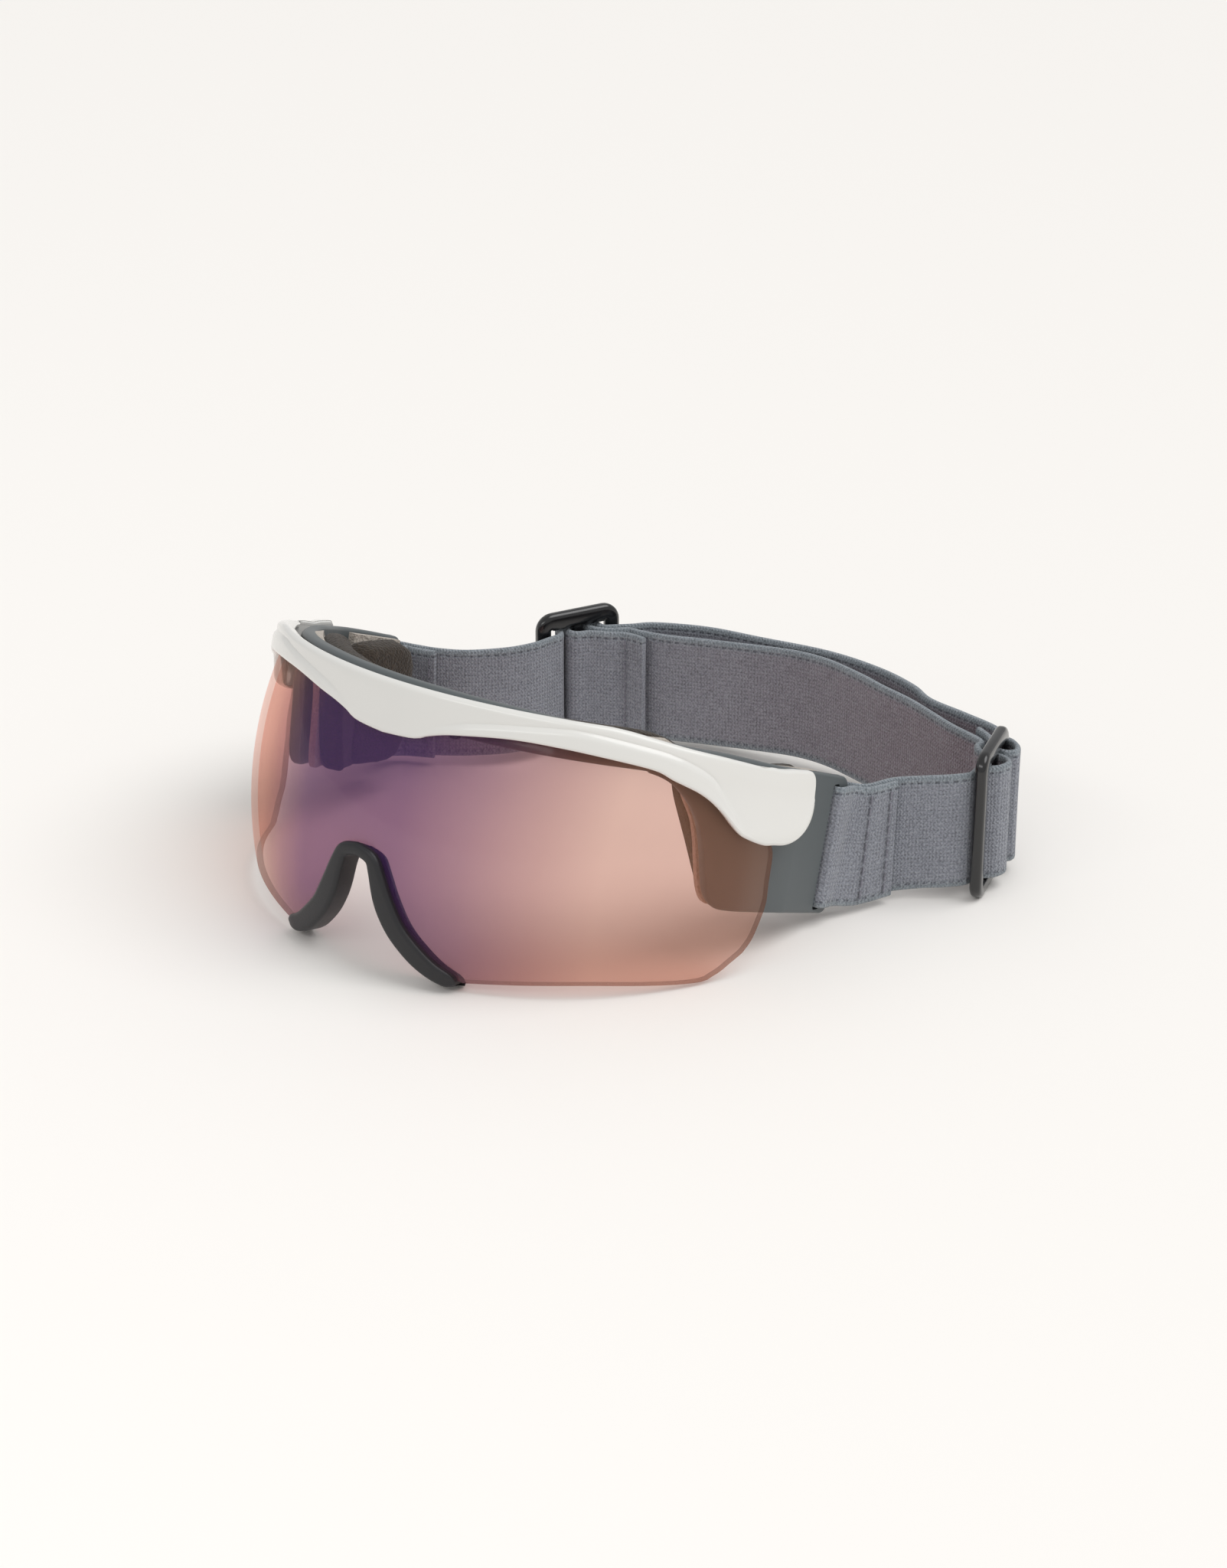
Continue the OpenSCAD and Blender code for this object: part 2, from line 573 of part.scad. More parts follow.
brow_frame();
lens();
lens_pins();
nose_pad();
inner_frame();
brow_foam();
brow_backing();
temple_foam();  // temple_foam_left
mirror([1, 0, 0]) temple_foam();  // temple_foam_right
foam_backing();  // foam_backing_left
mirror([1, 0, 0]) foam_backing();  // foam_backing_right
hinge_screw();  // hinge_screw_left
mirror([1, 0, 0]) hinge_screw();  // hinge_screw_right
hinge_insert();  // hinge_insert_left
mirror([1, 0, 0]) hinge_insert();  // hinge_insert_right
friction_washer();  // friction_washer_left
mirror([1, 0, 0]) friction_washer();  // friction_washer_right
strap_left();
strap_right();
slider_left();
slider_right();
arm_stitches_left();
arm_stitches_right();
fold_stitches_left();
fold_stitches_right();
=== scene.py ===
# %% [markdown]
# # A flip-up sport visor on an elastic strap
# The measured model comes in first as a fixed frame. Every piece below is set on it. Most are
# parented to an empty for the body that carries them, so that they follow it when the visor
# flips or a slider moves. The strap lengths that reach from one body to another are attached to
# none.

# %% Load the measured frame
import math
import bpy
import numpy as np
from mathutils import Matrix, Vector


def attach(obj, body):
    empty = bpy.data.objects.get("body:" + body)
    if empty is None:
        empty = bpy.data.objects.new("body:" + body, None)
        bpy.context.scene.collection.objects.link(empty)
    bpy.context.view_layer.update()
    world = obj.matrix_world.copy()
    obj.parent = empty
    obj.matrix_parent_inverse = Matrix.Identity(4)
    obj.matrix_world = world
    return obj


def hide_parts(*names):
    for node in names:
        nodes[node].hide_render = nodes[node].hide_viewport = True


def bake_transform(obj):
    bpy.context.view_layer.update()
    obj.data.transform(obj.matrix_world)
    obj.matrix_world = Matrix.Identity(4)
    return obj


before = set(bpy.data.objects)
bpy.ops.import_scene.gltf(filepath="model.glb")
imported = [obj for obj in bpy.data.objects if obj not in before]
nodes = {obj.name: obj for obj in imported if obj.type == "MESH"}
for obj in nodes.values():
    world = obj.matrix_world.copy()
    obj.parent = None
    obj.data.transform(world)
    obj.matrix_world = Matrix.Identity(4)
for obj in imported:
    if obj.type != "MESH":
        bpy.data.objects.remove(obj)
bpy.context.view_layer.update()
bpy.ops.object.select_all(action="DESELECT")

# %% [markdown]
# ## The leaning frame
# Lens, brow and inner frame all lean back by 15 degrees and curve round one upright axis behind
# the face. It is easiest to draw them in their own frame: an angle round that axis, a radius and
# a height v, in millimetres. One function turns such a point into a place in the scene.

# %% The leaning frame's own coordinates
LEAN = math.radians(15)
STAND = 42.2
HEAD_Y = 23.2
LENS_R, LENS_BOW, WIDEST, LENS_T = 78.0, 92.0, -19.8, 1.6
MM = 0.001


def leant(x, y, v):
    """A point of the leaning frame, in millimetres, as a place in the scene in metres."""
    return (x * MM, (y * math.cos(LEAN) + v * math.sin(LEAN)) * MM,
            (-y * math.sin(LEAN) + v * math.cos(LEAN) + STAND) * MM)


def round_head(angle, r, v):
    """A point at an angle from straight ahead, in degrees, and a radius round the head."""
    a = math.radians(angle)
    return leant(r * math.sin(a), HEAD_Y - r * math.cos(a), v)


def lens_radius(v):
    return LENS_R - (LENS_BOW - math.sqrt(LENS_BOW ** 2 - (v - WIDEST) ** 2))


def curve(points, steps):
    """A smooth open line through points, with this many steps between two of them."""
    p = [np.array(q, float) for q in points]
    out = []
    for i in range(len(p) - 1):
        a, b, c, d = p[max(i - 1, 0)], p[i], p[i + 1], p[min(i + 2, len(p) - 1)]
        for k in range(steps):
            t = k / steps
            out.append(0.5 * (2 * b + (c - a) * t + (2 * a - 5 * b + 4 * c - d) * t ** 2
                              + (3 * b - a - 3 * c + d) * t ** 3))
    return np.array(out + [p[-1]])


def table(points):
    """A function that reads a smooth line through points, given as (place, value)."""
    line = curve(points, 12)
    return lambda x: float(np.interp(x, line[:, 0], line[:, 1]))


def spread(line, count):
    """The same line as count points, evenly far apart."""
    line = np.array(line, float)
    far = np.concatenate([[0], np.cumsum(np.linalg.norm(np.diff(line, axis=0), axis=1))])
    at = np.linspace(0, far[-1], count)
    return np.stack([np.interp(at, far, line[:, k]) for k in range(line.shape[1])], axis=1)


# %% [markdown]
# ## Small hand tools
# A primitive is added, shaped in edit mode and finished with applied modifiers. These helpers
# hold the clicks that come back for every piece: start from nothing selected, pull a grid over
# rows of measured points, apply a modifier, and bring the object's place into its mesh.

# %% Hand tools
def fresh(name):
    """The object just added, named and alone in the selection."""
    piece = bpy.context.object
    piece.name = name
    piece.data.name = name
    return piece


def select_none():
    if bpy.context.object and bpy.context.object.mode != "OBJECT":
        bpy.ops.object.mode_set(mode="OBJECT")
    bpy.ops.object.select_all(action="DESELECT")


def only(piece):
    select_none()
    piece.select_set(True)
    bpy.context.view_layer.objects.active = piece


def tidy(piece):
    """Merges doubles, closes open ends and points the faces outwards."""
    only(piece)
    bpy.ops.object.mode_set(mode="EDIT")
    bpy.ops.mesh.select_all(action="SELECT")
    bpy.ops.mesh.remove_doubles(threshold=1e-6)
    bpy.ops.mesh.fill_holes(sides=0)
    bpy.ops.mesh.select_all(action="SELECT")
    bpy.ops.mesh.normals_make_consistent(inside=False)
    bpy.ops.object.mode_set(mode="OBJECT")
    return piece


def finish_with(piece, kind, **settings):
    """Adds a modifier and applies it."""
    only(piece)
    mod = piece.modifiers.new(kind.lower(), kind)
    for key, value in settings.items():
        setattr(mod, key, value)
    bpy.ops.object.modifier_apply(modifier=mod.name)
    return piece


def settle(piece):
    """Brings the object's place, turn and size into its mesh."""
    only(piece)
    bpy.ops.object.transform_apply(location=True, rotation=True, scale=True)
    return piece


def smooth(piece, degrees):
    """Smooth shading, but for edges that are sharper than this."""
    only(piece)
    bpy.ops.object.shade_smooth_by_angle(angle=math.radians(degrees))
    return piece


def skin(name, rows):
    """A flat grid pulled over rows of points: open, as a sheet."""
    n, m = len(rows), len(rows[0])
    select_none()
    bpy.ops.mesh.primitive_grid_add(x_subdivisions=m - 1, y_subdivisions=n - 1, size=0.01)
    piece = fresh(name)
    flat = np.array(rows, dtype=np.float32).reshape(-1)
    piece.data.vertices.foreach_set("co", flat)
    piece.data.update()
    return settle(piece)


def loft(name, rings):
    """A closed form through rings of points, with its ends filled."""
    rows = [list(r) + [r[0]] for r in rings]
    return tidy(skin(name, rows))


def joined(name, *pieces):
    select_none()
    for p in pieces:
        p.select_set(True)
    bpy.context.view_layer.objects.active = pieces[0]
    bpy.ops.object.join()
    return fresh(name)


def mirrored(piece, name):
    """The same piece on the other side of the middle plane, with its own mesh."""
    only(piece)
    bpy.ops.object.duplicate()
    twin = fresh(name)
    bpy.ops.object.mode_set(mode="EDIT")
    bpy.ops.mesh.select_all(action="SELECT")
    bpy.ops.transform.resize(value=(-1, 1, 1), center_override=(0, 0, 0))
    bpy.ops.mesh.flip_normals()
    bpy.ops.object.mode_set(mode="OBJECT")
    return twin


def box_section(lo, hi, inner, outer, radius, n=4):
    """A rounded box in (radius, v), as a list of points that goes once round."""
    radius = min(radius, 0.49 * (hi - lo), 0.49 * (outer - inner))
    out = []
    for cx, cv, a0 in ((outer - radius, hi - radius, 0), (inner + radius, hi - radius, 90),
                       (inner + radius, lo + radius, 180), (outer - radius, lo + radius, 270)):
        for k in range(n + 1):
            a = math.radians(a0 + 90 * k / n)
            out.append((cx + radius * math.cos(a), cv + radius * math.sin(a)))
    return out


def squared_round(count, power):
    """A circle drawn out towards a square, as steps that reach from -1 to 1 both ways."""
    out = []
    for k in range(count):
        a = 2 * math.pi * k / count
        p, q = math.cos(a), math.sin(a)
        e = (abs(p) ** power + abs(q) ** power) ** (-1 / power)
        out.append((p * e, q * e))
    return out


# %% [markdown]
# ## Shader sums
# Node trees are easier to read as sums. The first class wraps a socket: adding or multiplying
# two of them adds the Math node. The second one is a material, and any other node comes from it.

# %% Sockets as numbers
def feed(tree, socket, value):
    """Sets an input, or links it when the value is another node's output."""
    if isinstance(value, Sock):
        tree.links.new(value.socket, socket)
    else:
        socket.default_value = value


class Sock:
    """One output socket of a material, which Python's operators can work with."""

    def __init__(self, tree, socket):
        self.tree, self.socket = tree, socket

    def _math(self, op, *values):
        node = self.tree.nodes.new("ShaderNodeMath")
        node.operation = op
        for i, value in enumerate(values):
            feed(self.tree, node.inputs[i], value)
        return Sock(self.tree, node.outputs[0])

    def __add__(self, o): return self._math("ADD", self, o)
    __radd__ = __add__
    def __sub__(self, o): return self._math("SUBTRACT", self, o)
    def __rsub__(self, o): return self._math("SUBTRACT", o, self)
    def __mul__(self, o): return self._math("MULTIPLY", self, o)
    __rmul__ = __mul__
    def __truediv__(self, o): return self._math("DIVIDE", self, o)
    def __rtruediv__(self, o): return self._math("DIVIDE", o, self)
    def __pow__(self, o): return self._math("POWER", self, o)
    def least(self, o): return self._math("MINIMUM", self, o)
    def most(self, o): return self._math("MAXIMUM", self, o)
    def sine(self): return self._math("SINE", self)
    def size(self): return self._math("ABSOLUTE", self)


class Finish:
    """A material with a Principled shader, and one method for any other node."""

    def __init__(self, name, **constants):
        self.material = bpy.data.materials.new(name)
        self.material.use_nodes = True
        self.tree = self.material.node_tree
        self.shader = self.tree.nodes["Principled BSDF"]
        for key, value in constants.items():
            self.set(key.replace("_", " "), value)

    def node(self, kind, settings=None, out=0, **values):
        made = self.tree.nodes.new(kind)
        for key, value in (settings or {}).items():
            if key == "stops":
                ramp = made.color_ramp
                while len(ramp.elements) < len(value):
                    ramp.elements.new(0.5)
                for element, (place, colour) in zip(ramp.elements, value):
                    element.position, element.color = place, colour
            else:
                setattr(made, key, value)
        for key, value in values.items():
            feed(self.tree, made.inputs[key.replace("_", " ")], value)
        return Sock(self.tree, made.outputs[out])

    def set(self, key, value):
        feed(self.tree, self.shader.inputs[key], value)

    def parts(self, vector):
        """The three numbers of a vector."""
        made = self.tree.nodes.new("ShaderNodeSeparateXYZ")
        feed(self.tree, made.inputs[0], vector)
        return [Sock(self.tree, o) for o in made.outputs]

    def place(self):
        """Object coordinates, as a vector and as three numbers in millimetres."""
        where = self.node("ShaderNodeTexCoord", out=3)
        return where, [part * 1000.0 for part in self.parts(where)]

    def laid(self, name):
        """The two numbers of a map that is laid on the mesh."""
        return self.parts(self.node("ShaderNodeUVMap", {"uv_map": name}))[:2]

    def noise(self, vector, scale, detail=3.0, rough=0.5):
        return self.node("ShaderNodeTexNoise", Vector=vector, Scale=scale, Detail=detail,
                         Roughness=rough)

    def mix(self, a, b, factor):
        """Two colours mixed by a factor."""
        made = self.tree.nodes.new("ShaderNodeMix")
        made.data_type = "RGBA"
        for i, value in ((0, factor), (6, a), (7, b)):
            feed(self.tree, made.inputs[i], value)
        return Sock(self.tree, made.outputs[2])

    def ramp(self, value, *stops):
        return self.node("ShaderNodeValToRGB", {"stops": stops}, Fac=value)

    def bump(self, height, distance, strength=1.0):
        self.set("Normal", self.node("ShaderNodeBump", Height=height, Distance=distance,
                                     Strength=strength))


def colour(r, g, b):
    """A colour as it looks on a screen, 0 to 255, in the shader's own linear numbers."""
    lin = [c / 255 / 12.92 if c / 255 <= 0.04045 else ((c / 255 + 0.055) / 1.055) ** 2.4
           for c in (r, g, b)]
    return (*lin, 1.0)


# %% [markdown]
# ## Plastics and rubber
# The brow is glossy white moulding, the inner frame satin grey, the sliders gloss black and the
# nose pad soft dark rubber. None of them is one flat colour: a mould leaves a faint ripple that
# breaks the reflections, and handling leaves the gloss uneven.

# %% Plastic finishes
def moulded(name, tone, rough, ripple, grain_size, grain, patch=0.04, **more):
    """Moulded plastic: a slow ripple, a fine grain and slightly uneven gloss."""
    f = Finish(name, **more)
    where, _ = f.place()
    slow = f.noise(where, 60.0, 2.0)
    fine = f.noise(where, grain_size, 2.0, 0.6)
    darker = tuple(c * (1 - patch * 2) for c in tone[:3]) + (1,)
    f.set("Base Color", f.mix(darker, tone, slow))
    f.set("Roughness", rough + (fine - 0.5) * 0.06 + (slow - 0.5) * 0.05)
    f.bump(fine * grain + slow * ripple, 0.0001, 0.6)
    return f.material


white_gloss = moulded("white_gloss", colour(226, 225, 221), 0.22, 0.5, 900.0, 0.05, 0.01,
                      Coat_Weight=0.35, Coat_Roughness=0.08, IOR=1.49)
grey_satin = moulded("grey_satin", colour(88, 94, 96), 0.46, 0.3, 2600.0, 0.35, 0.04, IOR=1.46)
black_gloss = moulded("black_gloss", colour(15, 15, 17), 0.2, 0.6, 700.0, 0.1, 0.05,
                      Coat_Weight=0.4, Coat_Roughness=0.1, IOR=1.5)
nose_rubber = moulded("nose_rubber", colour(33, 33, 36), 0.42, 0.3, 1800.0, 0.5, 0.06, IOR=1.45)
dark_plastic = moulded("dark_plastic", colour(34, 34, 37), 0.5, 0.2, 1500.0, 0.4, 0.05)
brass = moulded("turned_brass", colour(186, 152, 92), 0.32, 0.2, 1200.0, 0.3, 0.05, Metallic=1.0)
print("plastics made")

# %% [markdown]
# ## The mirror lens
# A tinted shield with a thin mirror coat looks violet where it faces forward and peach towards
# its edges, and what lies behind shows through, tinted. A clear base colour alone would look
# like paint. So a Mix Shader lays a glossy coat over a see-through one, whose tint goes from
# violet to peach with the coat's own hue. The coat's share changes slowly over the surface too.
# Towards the bottom the share grows and the hue turns paler and warmer. That is painted light,
# which brightens the lower lens where the floor seen through it lies in shade.

# %% Lens finish
def clear_tint(f, tint):
    """A see-through shader that colours what lies behind it."""
    clear = f.tree.nodes.new("ShaderNodeBsdfTransparent")
    clear.inputs[0].default_value = tint
    return clear.outputs[0]


def between(f, low, high, share):
    """A Mix Shader of two shaders by a share, which may vary over the surface."""
    mixed = f.tree.nodes.new("ShaderNodeMixShader")
    feed(f.tree, mixed.inputs[0], share)
    f.tree.links.new(low, mixed.inputs[1])
    f.tree.links.new(high, mixed.inputs[2])
    return mixed.outputs[0]


def over_clear(f, share, clear):
    """Lays the material's own shader over a see-through one, by a share."""
    mixed = between(f, clear, f.shader.outputs[0], share)
    f.tree.links.new(mixed, f.tree.nodes["Material Output"].inputs[0])
    return f.material


def mirror_coat():
    f = Finish("mirror_lens", Metallic=0.0, IOR=1.55, Coat_Weight=0.4, Coat_Roughness=0.03)
    where, (x, y, z) = f.place()
    drift = f.noise(where, 14.0, 1.0) - 0.5
    across = (x - 9.0).most(0.0) / 46.0 + (0.0 - x - 20.0).most(0.0) / 24.0
    # low is painted light: towards the bottom the lens gets a paler, warmer hue and more coat than
    # the shaded floor seen through it would give
    low = (16.0 - z).most(0.0) / 40.0
    spot = ((across * across + low * low) ** 0.5 + drift * 0.3).most(0.0).least(1.0)
    hue = f.ramp(spot, (0.0, colour(84, 54, 122)), (0.4, colour(108, 72, 112)),
                 (0.75, colour(160, 116, 100)), (1.0, colour(200, 158, 126)))
    f.set("Base Color", hue)
    f.set("Roughness", 0.10 + drift * 0.03)
    # the share also grows with low, painted light on the lower lens
    share = (0.30 - spot * 0.20 + low * 0.12).most(0.08).least(0.32)
    violet, peach = clear_tint(f, (0.76, 0.57, 0.64, 1)), clear_tint(f, (0.96, 0.805, 0.765, 1))
    return over_clear(f, share, between(f, violet, peach, spot))


def cut_edge():
    f = Finish("lens_edge", Roughness=0.3, IOR=1.5)
    where, _ = f.place()
    f.set("Base Color", f.mix(colour(84, 50, 44), colour(104, 66, 56), f.noise(where, 60.0)))
    return over_clear(f, 0.45, clear_tint(f, (0.86, 0.7, 0.66, 1)))


mirror = mirror_coat()
edge_tint = cut_edge()

# %% [markdown]
# ## Knitted webbing and foam
# Elastic webbing is knitted: fine ribs run along it, loops cross them, and a soft fuzz hides
# both from afar. The ribs read the piece's own cloth map, which runs along and across the band,
# so they follow every turn of the strap.

# %% Cloth finishes
def knitted(name, tone, inner_tone, edge_tone, groove_tone):
    f = Finish(name, Roughness=0.92, Sheen_Weight=0.2, Sheen_Roughness=0.5, IOR=1.4)
    where, (x, y, z) = f.place()
    along, across = f.laid("cloth")
    wobble = f.noise(where, 420.0, 2.0) - 0.5
    rib = (across * (2 * math.pi / 1.05) + wobble * 2.4).sine()
    loop = (along * (2 * math.pi / 0.85) + rib * 1.1 + wobble * 3.4).sine()
    fuzz = f.noise(where, 2100.0, 3.0, 0.65)
    cloud = f.noise(where, 240.0, 3.0)
    # the band's section runs round once: outer face, edge, inner face, edge
    inside, rim = f.laid("side")
    warm = ((x + 30.0) / 110.0).most(0.0).least(1.0) * inside \
        * ((y - 52.0) / 8.0).most(0.0).least(1.0)
    body = f.mix(tone, inner_tone, warm)
    # stitches of the picot edge, just inside the rolled rim
    edge = ((across.size() - 13.35) * 2.2).size()
    dash = ((along * (2 * math.pi / 2.1)).sine() * 1.6 + 0.7).most(0.0).least(1.0)
    groove = (1.0 - edge).most(0.0) * dash * (1.0 - (rim - 0.9).most(0.0) * 10.0).most(0.0)
    body = f.mix(body, edge_tone, ((rim - 0.35) * 1.5).most(0.0).least(1.0))
    body = f.mix(body, groove_tone, (groove * 0.75).least(1.0))
    grain = (0.5 - fuzz) * 2.0 - rib * 0.08 - loop * 0.12 + (cloud - 0.5) * 0.3
    dark = f.mix(body, (0.03, 0.03, 0.036, 1), grain.most(0.0).least(0.5))
    pale = f.mix(dark, (0.60, 0.62, 0.68, 1), (0.0 - grain).most(0.0).least(0.32) * 0.8)
    f.set("Base Color", pale)
    f.bump(fuzz * 1.2 + rib * 0.14 + loop * 0.2 - groove * 0.5, 0.0004, 0.9)
    return f.material


def foamed(name, tone, pore_tone):
    f = Finish(name, Roughness=0.95, Sheen_Weight=0.15, IOR=1.35)
    where, _ = f.place()
    cells = f.node("ShaderNodeTexVoronoi", Vector=where, Scale=1500.0)
    soft = f.noise(where, 700.0, 4.0, 0.6)
    f.set("Base Color", f.mix(pore_tone, tone, (cells * 0.9 + soft * 0.5 - 0.1).least(1.0)))
    f.bump(cells * 0.7 + soft, 0.0004, 0.9)
    return f.material


webbing = knitted("knitted_webbing", colour(139, 142, 151), colour(137, 122, 129),
                  colour(136, 144, 150), colour(62, 64, 76))
foam = foamed("open_foam", colour(66, 57, 48), colour(30, 25, 21))
backing = foamed("felt_backing", colour(196, 188, 178), colour(160, 150, 140))
thread = foamed("sewing_thread", colour(140, 140, 150), colour(96, 96, 104))
print("cloth finishes made")

# %% [markdown]
# ## The lens
# One shield with a nose cut. Its outline is drawn flat, from the front, as two long edges that
# meet at the sides. A grid is pulled between them, each of its points is set on the bowed
# surface, and Solidify gives the 1.6 mm wall, so the curve stays true wherever it is cut.

# %% Lens
LOW_V = -45.5
lens_top = curve([(0, 5), (12, 6.2), (20, 8.4), (30, 9.4), (48, 9.3), (60, 6.4), (66, 1.4),
                  (68.6, -2.8), (70, -6.4), (71.4, -9), (74.2, -10.2)], 8)
lens_side = curve([(74.2, -10.2), (74.8, -13.8), (75, -20), (74.9, -26), (73.8, -33.3),
                   (72.6, -37.4)], 8)
lens_low = curve([(72.6, -37.4), (71.4, LOW_V + 5.8), (69.2, LOW_V + 2.2), (66, LOW_V),
                  (52, LOW_V - 2.2), (38.9, LOW_V - 4.8), (26.4, LOW_V - 7.3)], 8)
nose_cut = curve([(26.4, LOW_V - 7.3), (21, -50.6), (17.4, -47.6), (13, -43), (9.3, -37),
                  (6.2, -31), (4.2, -27.2), (0, -26.2)], 8)


def patch(name, top, side, low, rows, surface):
    """A grid between a top edge and a low edge, both from the middle outwards, with a side."""
    side = spread(side, rows)
    grid = []
    for j in range(rows):
        s = j / (rows - 1)
        # straight between the edges, then moved so that the middle and the side are met exactly
        straight = [(1 - s) * a + s * b for a, b in zip(top, low)]
        to_middle = np.array([-straight[0][0], 0])
        to_side = side[j] - straight[-1]
        line = []
        for i, p in enumerate(straight):
            t = i / (len(top) - 1)
            line.append(p + (1 - t) * to_middle + t * to_side)
        grid.append([surface(-p[0], p[1]) for p in line[:0:-1]] + [surface(*p) for p in line])
    return skin(name, grid)


def on_lens(x, v):
    """A point of the lens's outer surface, straight behind its place in the flat outline."""
    return leant(x, HEAD_Y - math.sqrt(lens_radius(v) ** 2 - x * x), v)


low_line = np.concatenate([nose_cut[::-1], lens_low[::-1][1:]])
lens = patch("lens", spread(lens_top, 90), lens_side, spread(low_line, 90), 60, on_lens)
only(lens)
bpy.ops.object.mode_set(mode="EDIT")
bpy.ops.mesh.select_all(action="SELECT")
bpy.ops.mesh.normals_make_consistent(inside=False)
bpy.ops.object.mode_set(mode="OBJECT")
if sum(p.normal.y for p in lens.data.polygons) > 0:
    bpy.ops.object.mode_set(mode="EDIT")
    bpy.ops.mesh.flip_normals()
    bpy.ops.object.mode_set(mode="OBJECT")
lens.data.materials.append(mirror)
lens.data.materials.append(edge_tint)
finish_with(lens, "SOLIDIFY", thickness=LENS_T * MM, offset=-1.0, use_even_offset=True,
            material_offset_rim=1)
smooth(lens, 40)
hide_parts("lens")
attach(lens, "visor")
print("lens", len(lens.data.polygons), "faces")

# %% [markdown]
# ## The brow frame
# A moulded white wall follows the lens round. Its lower lip stands proud below a fine crease,
# its top is a shelf that slopes back, and each end widens into a round paddle over the hinge.
# That is one section swept round the head whose height and lip change on the way, so it is
# built as rings of points, and the ends close by themselves as the height falls to nothing.

# %% Brow frame
BROW_R, BROW_WALL, PADDLE_R, PIVOT = 76.6, 2.2, 9.3, (4.0, -2.0)
# the boss inside a paddle: its radius and how far it keeps from the middle plane
BOSS_R, BOSS_X = 6.6, 71.4
brow_low = table([(0, 0.8), (6.5, 1.5), (9.5, 3), (14.4, 4.8), (23.9, 6.7), (32.8, 6.9),
                  (41.7, 6.1), (49.2, 4.8), (52.8, 2.9), (58.1, 0.2), (61.8, -3.1),
                  (65.7, -8), (67.9, -9.6), (71.5, -11.1), (74.5, -11.4)])
brow_high = table([(0, 13.4), (35, 13.4), (42.7, 13.1), (49, 11.8), (54.9, 10.4), (62, 8.9),
                   (66, 7.9), (70, 7.1), (75, 6.45)])
brow_crease = table([(0, 1.6), (6.5, 2.4), (11.7, 5.1), (16.9, 7.2), (23.7, 8.8), (32.6, 10.2),
                     (37.2, 10.4), (49.3, 8.4), (55.7, 6), (60.5, 2.5), (64.3, -3.8),
                     (67.9, -9.2), (74.5, -11)])


def ramp_up(x, a, b):
    t = min(max((x - a) / (b - a), 0), 1)
    return t * t * (3 - 2 * t)


def brow_face(v):
    """How far out the brow's face lies at a level: it clears the lens's widest part."""
    return BROW_R + 1.7 * ramp_up(-v, -3, 12)


def paddle_y(angle):
    """How far back a paddle's face lies at an angle round the head."""
    return HEAD_Y - (BROW_R + 0.6) * math.cos(math.radians(angle))


def paddle_edge(angle):
    """Half height of the paddle's disc at an angle round the head."""
    return math.sqrt(max(PADDLE_R ** 2 - (paddle_y(angle) - PIVOT[0]) ** 2, 0))


def paddle_top(angle):
    """The paddle's top: a straight edge that slopes back to a tight rear corner."""
    y = paddle_y(angle)
    past = min(max((y - PIVOT[0]) / PADDLE_R, 0), 1)
    return min(PIVOT[1] + 8.2 * (1 - past ** 6) ** (1 / 6), 7.1 - 0.09 * (y + 4))


def hinge_room(a, r):
    """Draws an inner wall out to a flat plane round the hinge, so that it swings past the arm."""
    flat = min(BOSS_X / math.sin(math.radians(max(a, 60))), BROW_R - 0.6)
    return r + ramp_up(a, 66, 70) * max(flat - r, 0)


def quarter(size, steps=5):
    """Steps of a rounded edge: how far it is drawn in, and how far it has come along."""
    return [(size * (1 - math.sin(t)), size * (1 - math.cos(t))) for t in
            (math.radians(90 * k / (steps - 1)) for k in range(steps))]


